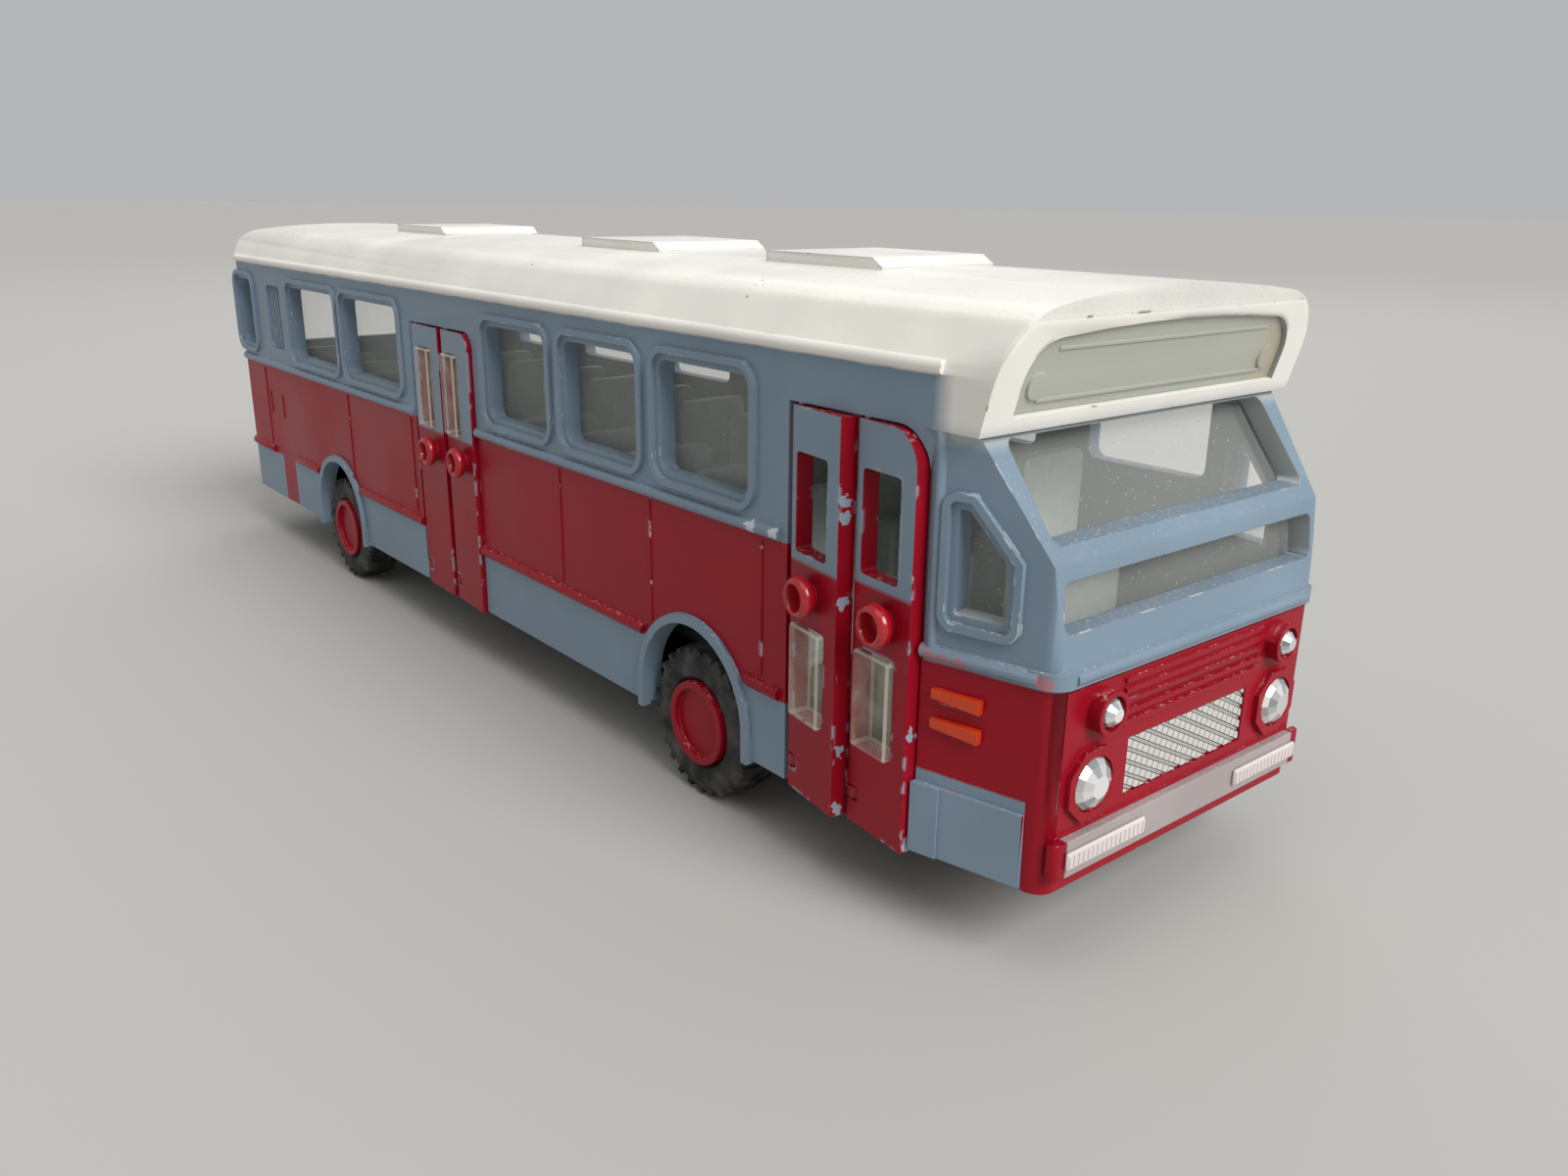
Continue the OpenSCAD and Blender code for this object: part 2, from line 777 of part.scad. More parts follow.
// Raised skirt under the front cheek, with its upright strip behind
module front_apron() {
    start = [-apron_back, -bead_sink, skirt_z + apron_lift];
    post_l = front_door_x - taper_x + apron_post_w;
    for (s = [-1, 1]) {
        on_cheek(s) translate(start)
            cube([taper_l - nose_corner_r + apron_back, bead_sink + apron_h, apron_rise - apron_lift]);
        on_cheek(s) translate(start)
            cube([post_l + apron_back, bead_sink + apron_post_h, apron_rise - apron_lift]);
    }
}

// Two raised indicator bars on each cheek
module side_indicators() {
    for (s = [-1, 1], i = [0, 1]) on_cheek(s)
        translate([
            front_door_x - taper_x + indicator_setback, -bead_sink,
            belt_z - indicator_drop - i * indicator_gap
        ])
            cube([indicator_l, bead_sink + indicator_proud, indicator_h]);
}

module quarter_openings() {
    for (s = [-1, 1]) on_cheek(s)
        translate([front_door_x - taper_x + quarter_gap, overrun, belt_z + quarter_z])
            rotate([90, 0, 0]) linear_extrude(overrun + 2 * wall) quarter_outline(bead_w + shelf);
}

module quarter_beads() {
    for (s = [-1, 1]) on_cheek(s)
        translate([front_door_x - taper_x + quarter_gap, bead_h, belt_z + quarter_z])
            rotate([90, 0, 0]) linear_extrude(bead_h + bead_sink) difference() {
                quarter_outline(0);
                quarter_outline(bead_w);
            }
}

module screen_openings() {
    along_x(screen_x - wall * screen_shift - overrun, panel_x + overrun) {
        translate([-screen_half_w, nose_z + screen_low_gap])
            round_rect([2 * screen_half_w, box_z - screen_top_gap - nose_z - screen_low_gap], screen_r);
        translate([-screen_half_w, nose_z - nose_bar_h - low_screen_h])
            round_rect([2 * screen_half_w, low_screen_h], screen_r);
    }
}

// Put a shape on the leaning face of the destination box: x across, y up the face, z outwards
module on_sign_face() {
    translate([box_x, 0, box_z]) rotate([0, box_angle, 0]) rotate([90, 0, 90]) children();
}

module sign_outline(gap) {
    intersection() {
        crowned(sign_half_w - gap, sign_margin + gap, sign_height - gap, sign_r - gap, sign_crown_r);
        translate([gap - sign_half_w, sign_margin + gap]) square([2 * (sign_half_w - gap), sign_height]);
    }
}

module roof_hatches() {
    top = roof_z + hatch_h;
    low = roof_z - hatch_sink;
    for (x = hatch_places) translate([x, 0, 0]) along_y(-hatch_half_w, hatch_half_w)
        polygon([[-hatch_l, low], [0, low], [0, roof_z], [-hatch_slope, top], [-hatch_l, top]]);
}

// Blocks inside both ends that the baseplate's screws enter
module screw_blocks() {
    z = plate_z + plate_t;
    translate([panel_x - wall - screw_block_l, -screw_block_w / 2, z])
        cube([screw_block_l + (wall - panel_t) / 2, screw_block_w, screw_block_h]);
    translate([back_x + wall / 2, -screw_block_w / 2, z])
        cube([screw_block_l + wall / 2, screw_block_w, screw_block_h]);
}

// Place of a leaf's hinge axis
function hinge_x(leaf) = leaf[0] + leaf_t / 2;

module body_shell() {
    color(blue_grey) difference() {
        union() {
            difference() {
                union() {
                    body_form(0);
                    window_beads();
                    round_bead(waist_z, waist_r, front_door_x - front_door_w - rail_end_gap, taper_x);
                    lower_rail();
                    round_bead(gutter_z, gutter_r, front_door_x + post_gap, front_door_x + post_gap);
                    panel_seams();
                    hatch_ribs();
                    nose_belt();
                    door_post_bead();
                    front_apron();
                    side_indicators();
                    quarter_beads();
                    roof_hatches();
                }
                body_form(wall);
                window_openings();
                doorways();
                arch_openings(front_wheel_x);
                arch_openings(rear_wheel_x);
                for (s = [-1, 1]) vent_recess(s);
                quarter_openings();
                screen_openings();
                on_sign_face() translate([0, 0, -sign_depth]) linear_extrude(overrun) sign_outline(0);
                translate([panel_x - panel_t, -panel_half_w - seat_gap, panel_low_z - seat_gap])
                    cube([
                        overrun, 2 * (panel_half_w + seat_gap),
                        panel_top_z - panel_low_z + 2 * seat_gap
                    ]);
            }
            arches(front_wheel_x);
            arches(rear_wheel_x);
            for (s = [-1, 1]) vent_ribs(s);
            screw_blocks();
        }
        for (x = [front_screw_x, rear_screw_x]) translate([x, 0, plate_z])
            cylinder(r = screw_r + seat_gap, h = plate_t + screw_l);
        for (leaf = leaves) translate([hinge_x(leaf), hinge_y, door_top_z - overrun])
            cylinder(r = pin_r + running_gap, h = overrun + pin_reach + leaf_gap);
    }
}

// Front panel, its lamps and the grille

module front_panel() {
    color(red) difference() {
        union() {
            translate([panel_x - panel_t, -panel_half_w, panel_low_z])
                cube([panel_t, 2 * panel_half_w, panel_top_z - panel_low_z]);
            for (s = [-1, 1]) {
                translate([panel_x - panel_t, s * lamp_y, lamp_z]) rotate([0, 90, 0])
                    rotate([0, 0, 180 / lamp_ring_sides])
                        cylinder(r = lamp_ring_r, h = panel_t + lamp_ring_h, $fn = lamp_ring_sides);
                translate([panel_x - panel_t, s * upper_lamp_y, upper_lamp_z]) rotate([0, 90, 0])
                    cylinder(r = upper_ring_r, h = panel_t + upper_ring_h);
            }
            for (i = [0:louvre_count - 1])
                translate([panel_x - panel_t, -louvre_half_w, louvre_z + i * louvre_pitch])
                    cube([panel_t + louvre_h, 2 * louvre_half_w, louvre_bar]);
        }
        for (s = [-1, 1]) {
            translate([panel_x - lamp_seat, s * lamp_y, lamp_z]) rotate([0, 90, 0])
                cylinder(r = lamp_r + seat_gap, h = overrun);
            translate([panel_x - lamp_seat, s * upper_lamp_y, upper_lamp_z]) rotate([0, 90, 0])
                cylinder(r = upper_lamp_r + seat_gap, h = overrun);
        }
        translate([panel_x - grille_t, -grille_half_w - seat_gap, grille_z - seat_gap])
            cube([overrun, 2 * (grille_half_w + seat_gap), grille_h + 2 * seat_gap]);
    }
}

// Round lens with a domed front, seated in the panel
module lens(r, h, dome) {
    ball = (r ^ 2 + dome ^ 2) / (2 * dome);
    rotate([0, 90, 0]) {
        cylinder(r = r, h = h);
        translate([0, 0, h]) intersection() {
            translate([0, 0, dome - ball]) sphere(ball);
            cylinder(r = r, h = dome);
        }
    }
}

module headlight_lenses() {
    color(clear) for (s = [-1, 1]) translate([panel_x - lamp_seat, s * lamp_y, lamp_z])
        lens(lamp_r, lamp_seat + lamp_ring_h, lamp_dome);
}

module upper_lamp_lenses() {
    color(clear) for (s = [-1, 1]) translate([panel_x - lamp_seat, s * upper_lamp_y, upper_lamp_z])
        lens(upper_lamp_r, lamp_seat + upper_ring_h, lamp_dome * upper_lamp_r / lamp_r);
}

module front_grille() {
    back = grille_t / 2;
    color(silver) translate([panel_x - grille_t, -grille_half_w, grille_z]) {
        cube([back, 2 * grille_half_w, grille_h]);
        for (y = [0:grille_pitch:2 * grille_half_w - grille_bar]) translate([0, y, 0])
            cube([grille_t, grille_bar, grille_h]);
        for (z = [0:grille_pitch:grille_h - grille_bar]) translate([0, 0, z])
            cube([grille_t, 2 * grille_half_w, grille_bar]);
    }
}

module front_bumper() {
    color(silver) translate([panel_x, 0, bumper_z]) linear_extrude(bumper_h) {
        translate([0, -bumper_half_w]) square([bumper_proud - bumper_r, 2 * bumper_half_w]);
        translate([0, -bumper_half_w + bumper_r]) square([bumper_proud, 2 * (bumper_half_w - bumper_r)]);
        for (s = [-1, 1]) intersection() {
            translate([bumper_proud - bumper_r, s * (bumper_half_w - bumper_r)]) circle(bumper_r);
            translate([0, -bumper_half_w]) square([bumper_proud, 2 * bumper_half_w]);
        }
    }
}

module bumper_pads() {
    color(cream) for (s = [0, 1]) mirror([0, s, 0])
        translate([front_x, pad_in_y, pad_z]) cube([pad_proud, pad_l, pad_h]);
}

module rear_bumper() {
    color(silver) translate([rear_x, -bumper_half_w, bumper_z])
        cube([bumper_proud, 2 * bumper_half_w, bumper_h]);
}

module rear_lamps() {
    color(red) for (s = [-1, 1], i = [0, 1])
        translate([back_x - seat_gap, s * rear_lamp_y, rail_z + rear_lamp_rise + i * rear_lamp_pitch])
            rotate([0, -90, 0]) cylinder(r = rear_lamp_r, h = rear_lamp_h);
}

module destination_panel() {
    color(clear) on_sign_face() translate([0, 0, -sign_depth]) {
        linear_extrude(sign_t) sign_outline(seat_gap);
        for (s = [-1, 1])
            translate([s * (sign_half_w - sign_boss_inset), sign_margin + sign_boss_inset, sign_t])
                cylinder(r = sign_boss_r, h = sign_boss_h);
    }
}

// Glazing

module windscreen() {
    low = nose_z - nose_bar_h - low_screen_h - glass_lap;
    half = screen_half_w - wall * tan(taper_angle);
    color(clear) intersection() {
        along_x(screen_x - wall * screen_shift - overrun, panel_x) translate([-half, low])
            square([2 * half, box_z - low]);
        along_y(-side_y, side_y) difference() {
            low_profile(wall, low);
            low_profile(wall + glass_t, low - overrun);
            translate([back_x, low - overrun]) square([screen_x - overrun - back_x - glass_t, roof_z]);
            translate([back_x, box_z]) square([body_l, roof_z]);
        }
    }
}

module rear_window() {
    half = rear_screen_half_w + glass_lap;
    color(clear) translate([back_x + wall, -half, window_z - glass_lap + bead_w])
        cube([glass_t, 2 * half, window_h - 2 * bead_w + 2 * glass_lap]);
}

// Flat strip inside one side wall, between two stations
module glazing_strip(s, x0, x1) {
    low = window_z + bead_w + shelf - glass_lap;
    h = window_h - 2 * (bead_w + shelf - glass_lap);
    y = s < 0 ? -inner_y : inner_y - glass_t;
    color(clear) translate([x0, y, low]) cube([x1 - x0, glass_t, h]);
}

module right_front_glazing() {
    glazing_strip(-1, mid_door_x + leaf_gap, front_row_x);
}

module right_rear_glazing() {
    glazing_strip(-1, strip_rear_x, rear_row_x);
}

module left_glazing() {
    glazing_strip(1, strip_rear_x, taper_x);
}

module quarter_glazing(s) {
    color(clear) on_cheek(s) translate([front_door_x - taper_x + quarter_gap, -wall, belt_z + quarter_z])
        rotate([90, 0, 0]) linear_extrude(glass_t) quarter_outline(bead_w + shelf - glass_lap / 2);
}

module right_quarter_glazing() {
    quarter_glazing(-1);
}

module left_quarter_glazing() {
    quarter_glazing(1);
}

// Baseplate

module baseplate() {
    half = inner_y - plate_gap;
    rear = back_x + wall + plate_gap;
    front = panel_x - wall - plate_gap;
    color(black) difference() {
        union() {
            translate([0, 0, plate_z]) linear_extrude(plate_t) intersection() {
                nose_plan(wall + plate_gap);
                translate([rear, -half]) square([front - rear, 2 * half]);
            }
            for (x = [front_wheel_x, rear_wheel_x], s = [-1, 1])
                translate([x - bearing_l / 2, s * bearing_y - bearing_t / 2, bearing_z])
                    cube([bearing_l, bearing_t, plate_z - bearing_z]);
            for (leaf = leaves) {
                translate([hinge_x(leaf), hinge_y, plate_z]) cylinder(r = lug_r, h = plate_t);
                translate([hinge_x(leaf) - lug_r, hinge_y, plate_z])
                    cube([2 * lug_r, -hinge_y - bearing_y, plate_t]);
            }
        }
        for (x = [front_wheel_x, rear_wheel_x]) {
            translate([x, -half, wheel_z]) rotate([-90, 0, 0])
                cylinder(r = axle_r + running_gap, h = 2 * half);
            for (s = [0, 1]) mirror([0, s, 0])
                translate([x - tyre_r - well_l, well_y, plate_z - overrun])
                    cube([2 * (tyre_r + well_l), half + overrun - well_y, plate_t + 2 * overrun]);
        }
        for (leaf = leaves) translate([hinge_x(leaf), hinge_y, plate_z - overrun])
            cylinder(r = pin_r + running_gap, h = plate_t + 2 * overrun);
        for (x = [front_screw_x, rear_screw_x]) translate([x, 0, plate_z - overrun])
            cylinder(r = screw_r + seat_gap, h = plate_t + 2 * overrun);
    }
}

module baseplate_screws() {
    color(steel) for (x = [front_screw_x, rear_screw_x]) translate([x, 0, plate_z]) {
        cylinder(r = screw_r, h = plate_t + screw_l - seat_gap);
        translate([0, 0, -screw_head_h]) cylinder(r = screw_head_r, h = screw_head_h);
    }
}

// Seats

// Bench with a rounded back, its back's rear face at x
module bench(x, y, w, l, seat, back) {
    translate([x, y, floor_z + floor_t]) {
        cube([l, w, seat]);
        along_x(0, seat_back_t) round_top([w, back], seat_r);
    }
}

module round_top(size, r) {
    square([size.x, size.y - r]);
    translate([r, 0]) square([size.x - 2 * r, size.y]);
    for (x = [r, size.x - r]) translate([x, size.y - r]) circle(r);
}

// True where a bench on the right side would stand in a doorway
function in_doorway(x) = len([
    for (door = [[front_door_x, front_door_w], [mid_door_x, mid_door_w]])
        if (x + seat_l > door[0] - door[1] - step_margin && x < door[0] + step_margin) 1
]) > 0;

module seat_unit() {
    half = inner_y - floor_gap - glass_t;
    rear = strip_rear_x;
    front = taper_x;
    bench_w = half - seat_side_gap - seat_aisle;
    first = front_door_x - front_door_w - seat_front_gap - seat_l;
    color(seat_green) {
        difference() {
            translate([rear, -half, floor_z]) cube([front - rear, 2 * half, floor_t]);
            for (door = [[front_door_x, front_door_w], [mid_door_x, mid_door_w]])
                translate([door[0] - door[1] - step_margin, -half - overrun, floor_z - overrun])
                    cube([door[1] + 2 * step_margin, half + overrun - step_y, floor_t + 2 * overrun]);
        }
        for (s = [-1, 1]) translate([rear, s * rib_y - rib_t / 2, plate_z + plate_t])
            cube([front - rear - floor_front, rib_t, floor_z - plate_z - plate_t]);
        for (x = [first:-seat_pitch:rear + seat_rear_gap]) {
            bench(x, seat_aisle, bench_w, seat_l, seat_h, seat_back_h);
            if (!in_doorway(x)) bench(x, -seat_aisle - bench_w, bench_w, seat_l, seat_h, seat_back_h);
        }
    }
}

module driver_seat() {
    color(seat_green)
        bench(front_x - driver_setback, driver_y, driver_w, driver_l, driver_seat_h, driver_back_h);
}

// Wheels

module axle(x) {
    color(steel) translate([x, -hub_face_y + hub_dish + hub_back, wheel_z]) rotate([-90, 0, 0])
        cylinder(r = axle_r, h = 2 * (hub_face_y - hub_dish - hub_back));
}

// Put a wheel profile of radius and distance from the outer face at one end of an axle
module at_wheel(x, s) {
    translate([x, s * hub_face_y, wheel_z]) rotate([s < 0 ? -90 : 90, 0, 0]) rotate_extrude() children();
}

module tyre(x, s) {
    r = hub_r + seat_gap;
    color(black) at_wheel(x, s) translate([0, hub_proud]) difference() {
        translate([r, 0]) square([tyre_r - r, tyre_w]);
        for (y = [0, tyre_w]) difference() {
            translate([tyre_r - tyre_shoulder, y - (y > 0 ? tyre_shoulder : 0)])
                square([tyre_shoulder, tyre_shoulder]);
            translate([tyre_r - tyre_shoulder, y + (y > 0 ? -tyre_shoulder : tyre_shoulder)])
                circle(tyre_shoulder);
        }
    }
}

module hub(x, s) {
    bore = axle_r + seat_gap;
    depth = hub_face_y - wheel_back_y;
    boss = hub_face_y - bearing_y - bearing_t / 2 - bearing_gap;
    color(red) at_wheel(x, s) difference() {
        union() {
            square([hub_r, depth]);
            square([hub_boss_r, boss]);
        }
        square([hub_r - hub_rim, hub_dish]);
        translate([0, hub_dish + hub_back]) square([bore, boss]);
    }
}

// Door leaves

// Turn a leaf's pieces from closed to their angle at rest, with the rear edge at the hinge
module at_leaf(leaf) {
    translate([hinge_x(leaf), hinge_y, 0]) rotate([0, 0, -leaf[2]])
        translate([-leaf_t / 2, -leaf_t / 2, 0]) children();
}

module leaf(leaf) {
    l = leaf[1];
    r = leaf[3];
    color(red) at_leaf(leaf) difference() {
        intersection() {
            translate([0, 0, leaf_low_z]) linear_extrude(leaf_top_z - leaf_low_z) {
                translate([leaf_t / 2, leaf_t / 2]) circle(leaf_t / 2);
                translate([leaf_t / 2, 0]) square([l - leaf_t / 2, leaf_t]);
            }
            along_y(0, leaf_t) leaf_outline(l, r);
        }
        for (light = leaf[6]) along_y(-overrun, leaf_t + overrun)
            translate([leaf[4], light[0]]) round_rect([leaf[5], light[1]], light_r);
        translate([leaf_t / 2, leaf_t / 2, leaf_top_z - pin_l]) cylinder(r = pin_r, h = pin_l + overrun);
        translate([leaf_t / 2, leaf_t / 2, leaf_low_z]) cylinder(r = pin_r, h = lower_pin_h);
        translate([-overrun, -overrun, plate_z - leaf_gap])
            cube([overrun + leaf_t / 2 + lug_r + leaf_gap, leaf_t + 2 * overrun, plate_t + 2 * leaf_gap]);
    }
}

// Face of a leaf, with its front top corner rounded where the doorway's is
module leaf_outline(l, r) {
    translate([0, leaf_low_z]) square([l - r, leaf_top_z - leaf_low_z]);
    translate([0, leaf_low_z]) square([l, leaf_top_z - r - leaf_low_z]);
    if (r > 0) translate([l - r, leaf_top_z - r]) circle(r);
}

module leaf_pins(leaf) {
    color(steel) at_leaf(leaf) translate([leaf_t / 2, leaf_t / 2, 0]) {
        translate([0, 0, leaf_top_z - pin_l]) cylinder(r = pin_r, h = pin_l + pin_reach);
        translate([0, 0, leaf_low_z]) cylinder(r = pin_r, h = lower_pin_h);
    }
}

module leaf_knob(leaf) {
    color(red) at_leaf(leaf) translate([leaf[1] * leaf[7], 0, knob_z]) rotate([90, 0, 0]) {
        difference() {
            cylinder(r = knob_r, h = knob_l);
            translate([0, 0, knob_l - knob_depth]) cylinder(r = knob_r - knob_wall, h = overrun);
        }
        translate([0, 0, knob_l - knob_depth]) cylinder(r = knob_dot_r, h = knob_dot_h);
    }
}

module leaf_insert(leaf) {
    lights = leaf[6];
    light = lights[len(lights) - 1];
    color(clear) at_leaf(leaf) along_y(-insert_proud, leaf_t)
        translate([leaf[4] + seat_gap, light[0] + seat_gap])
            round_rect([leaf[5] - 2 * seat_gap, light[1] - 2 * seat_gap], light_r - seat_gap);
}

body_shell();
front_panel();
front_bumper();
bumper_pads();
front_grille();
headlight_lenses();
upper_lamp_lenses();
destination_panel();
windscreen();
rear_window();
right_front_glazing();
right_rear_glazing();
left_glazing();
right_quarter_glazing();
left_quarter_glazing();
baseplate();
baseplate_screws();
seat_unit();
driver_seat();
rear_bumper();
rear_lamps();
axle(front_wheel_x);  // front_axle
axle(rear_wheel_x);  // rear_axle
tyre(front_wheel_x, 1);  // front_left_tyre
tyre(front_wheel_x, -1);  // front_right_tyre
tyre(rear_wheel_x, 1);  // rear_left_tyre
tyre(rear_wheel_x, -1);  // rear_right_tyre
hub(front_wheel_x, 1);  // front_left_hub
hub(front_wheel_x, -1);  // front_right_hub
hub(rear_wheel_x, 1);  // rear_left_hub
hub(rear_wheel_x, -1);  // rear_right_hub
leaf(front_rear);  // front_door_rear_leaf
leaf(front_front);  // front_door_front_leaf
leaf(mid_rear);  // mid_door_rear_leaf
leaf(mid_front);  // mid_door_front_leaf
leaf_knob(front_rear);  // front_door_rear_knob
leaf_knob(front_front);  // front_door_front_knob
leaf_knob(mid_rear);  // mid_door_rear_knob
leaf_knob(mid_front);  // mid_door_front_knob
leaf_insert(front_rear);  // front_door_rear_insert
leaf_insert(front_front);  // front_door_front_insert
leaf_insert(mid_rear);  // mid_door_rear_insert
leaf_insert(mid_front);  // mid_door_front_insert
leaf_pins(front_rear);  // front_door_rear_pins
leaf_pins(front_front);  // front_door_front_pins
leaf_pins(mid_rear);  // mid_door_rear_pins
leaf_pins(mid_front);  // mid_door_front_pins
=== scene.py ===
"""Finishes and fine shapes of a die-cast toy bus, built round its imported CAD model."""

import json
import math

import bmesh
import bpy
from mathutils import Matrix, Vector

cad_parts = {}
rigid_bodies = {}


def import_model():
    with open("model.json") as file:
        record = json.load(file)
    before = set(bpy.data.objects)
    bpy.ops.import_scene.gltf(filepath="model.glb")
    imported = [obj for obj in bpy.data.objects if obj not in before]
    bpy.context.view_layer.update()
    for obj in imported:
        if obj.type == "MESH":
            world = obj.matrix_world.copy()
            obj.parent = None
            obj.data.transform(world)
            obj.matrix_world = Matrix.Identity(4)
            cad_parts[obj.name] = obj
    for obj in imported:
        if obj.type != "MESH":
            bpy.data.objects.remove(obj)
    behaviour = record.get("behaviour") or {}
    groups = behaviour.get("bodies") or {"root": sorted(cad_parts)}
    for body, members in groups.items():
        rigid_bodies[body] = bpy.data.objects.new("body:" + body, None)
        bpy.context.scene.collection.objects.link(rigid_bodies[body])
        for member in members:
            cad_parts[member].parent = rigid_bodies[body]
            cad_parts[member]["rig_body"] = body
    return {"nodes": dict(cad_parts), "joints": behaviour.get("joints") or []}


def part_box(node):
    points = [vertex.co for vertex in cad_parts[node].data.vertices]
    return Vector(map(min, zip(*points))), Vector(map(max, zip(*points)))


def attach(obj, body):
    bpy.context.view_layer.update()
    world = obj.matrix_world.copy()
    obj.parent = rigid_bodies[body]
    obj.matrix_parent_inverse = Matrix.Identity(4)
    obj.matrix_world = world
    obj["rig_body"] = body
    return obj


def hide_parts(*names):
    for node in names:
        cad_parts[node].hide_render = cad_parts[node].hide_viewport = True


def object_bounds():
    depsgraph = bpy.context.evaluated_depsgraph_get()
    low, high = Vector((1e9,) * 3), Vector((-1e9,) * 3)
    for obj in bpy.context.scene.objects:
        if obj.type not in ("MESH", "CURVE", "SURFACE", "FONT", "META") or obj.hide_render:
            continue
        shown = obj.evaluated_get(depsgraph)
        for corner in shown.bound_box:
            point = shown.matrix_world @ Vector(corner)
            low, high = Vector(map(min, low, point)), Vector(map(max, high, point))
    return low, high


bl_info = {
    "name": "Toy bus looks",
    "version": (1, 0, 0),
    "blender": (4, 5, 0),
    "location": "View3D > Sidebar > Toy bus",
    "description": "Dresses the packed toy bus with paint, clear plastic, rubber and bright metal",
    "category": "Object",
}

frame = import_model()
CAD_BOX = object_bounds()

MM = 0.001
WELD = 1e-7
SMOOTH_ANGLE = math.radians(32)
FLAT_ANGLE = math.radians(0.5)
LEAF_FACING = 0.95
INSERT_FACING = 0.98
JEWEL_SIDES = 12
# Tones and step of the painted reflection laid on the jewels' facets
FACET_TONES = 7
FACET_STEP = 5
KNOB_STEPS = 48
TYRE_STEPS = 72
TYRE_LUGS = 26
SENSOR_MM = 36
# Knocks in the paint: back from the doorway, ahead of the nose, and up the free edges of the leaves
RAIL_KNOCKS_MM = (2, 6)
BELT_KNOCKS_MM = (1, 2.5, 4, 12.5)
DOOR_KNOCK_SHARES = {"front_door_rear": (0.8, 0.77, 0.56, 0.17, 0.02), "front_door_front": (0.3, 0.02)}
JOINTS = {joint["name"]: joint for joint in frame["joints"]}
LEAVES = ("front_door_rear", "front_door_front", "mid_door_rear", "mid_door_front")
WHEELS = ("front_left", "front_right", "rear_left", "rear_right")
GLAZING = (
    "windscreen", "rear_window", "right_front_glazing", "right_rear_glazing", "left_glazing",
    "right_quarter_glazing", "left_quarter_glazing",
)


def linear(code):
    """Linear RGBA of an sRGB hex colour."""
    parts = [int(code[i:i + 2], 16) / 255 for i in (0, 2, 4)]
    return [p / 12.92 if p <= 0.04045 else ((p + 0.055) / 1.055) ** 2.4 for p in parts] + [1.0]


def length(name, about, mm):
    """A length of the scene, written in millimetres."""
    return bpy.props.FloatProperty(
        name=name, description=about, default=mm * MM, unit="LENGTH", precision=5)


def colour(name, about, code):
    """A colour of the scene, written as an sRGB hex value."""
    return bpy.props.FloatVectorProperty(
        name=name, description=about, default=linear(code), size=4, min=0, max=1, subtype="COLOR")


def angle(name, about, degrees):
    """An angle of the scene, written in degrees."""
    return bpy.props.FloatProperty(
        name=name, description=about, default=math.radians(degrees), subtype="ANGLE")


def number(name, about, value):
    """A plain number of the scene."""
    return bpy.props.FloatProperty(name=name, description=about, default=value)


class BusColours(bpy.types.PropertyGroup):
    """Colours of the bus and its stage."""

    red: colour("Red", "Lower panels, doors, front panel and hubs", "920B1F")
    blue_grey: colour("Blue-grey", "Window band, belt and skirts", "788A99")
    cream: colour("Cream", "Roof, gutter and destination frame", "E6E3DA")
    knob_red: colour("Knob red", "Door knobs", "A00C1A")
    orange: colour("Orange", "Side indicators", "C4380F")
    silver: colour("Silver", "Bumpers", "A99F9E")
    pad: colour("Pad", "Ribbed bumper pads", "D0C7C4")
    primer: colour("Primer", "Bare casting in the chips of the paint", "BFC3C7")
    undercoat: colour("Undercoat", "Pale blue-grey in the chips of the doors", "93A2AE")
    dark_chip: colour("Dark chip", "Old dirt in the chips of the cream", "5E5550")
    dust: colour("Dust", "Dust on ledges and clear plastic", "CFCBC0")
    lining: colour("Lining", "Thin paint on the inside of the casting", "A9AFAE")
    seat: colour("Seat", "Seats and floor", "AEB9B3")
    clear: colour("Clear plastic", "Glazing and inserts", "F1F3EC")
    milky: colour("Milky plastic", "Thick clear inserts of the doors", "E4DFCB")
    sign: colour("Sign", "Destination panel", "B9BCB0")
    stain: colour("Stain", "Caramel stain at one end of the destination panel", "B9A37C")
    rear_lamp: colour("Rear lamp", "Rear lamps", "8E1016")
    black: colour("Black", "Baseplate", "1B1B1D")
    rubber: colour("Rubber", "Tyres", "141414")
    steel: colour("Steel", "Axles and hinge pins", "A8A8A8")
    jewel: colour("Jewel", "Foil behind the lamp jewels", "F6F5F1")
    # A painted reflection: the tone of the jewels' darker facets
    jewel_dark_reflection: colour("Jewel shade", "Darker facets of the jewels", "8F9699")
    # The grille gap colour is laid on by depth: darker deeper down, towards the plate between the blocks
    grille_gap: colour("Grille gap", "Dirt between the grille's blocks", "7C7473")
    floor: colour("Floor", "Floor under the bus", "B4B2AE")
    sky: colour("Sky", "Even light of the room", "F3F4F6")


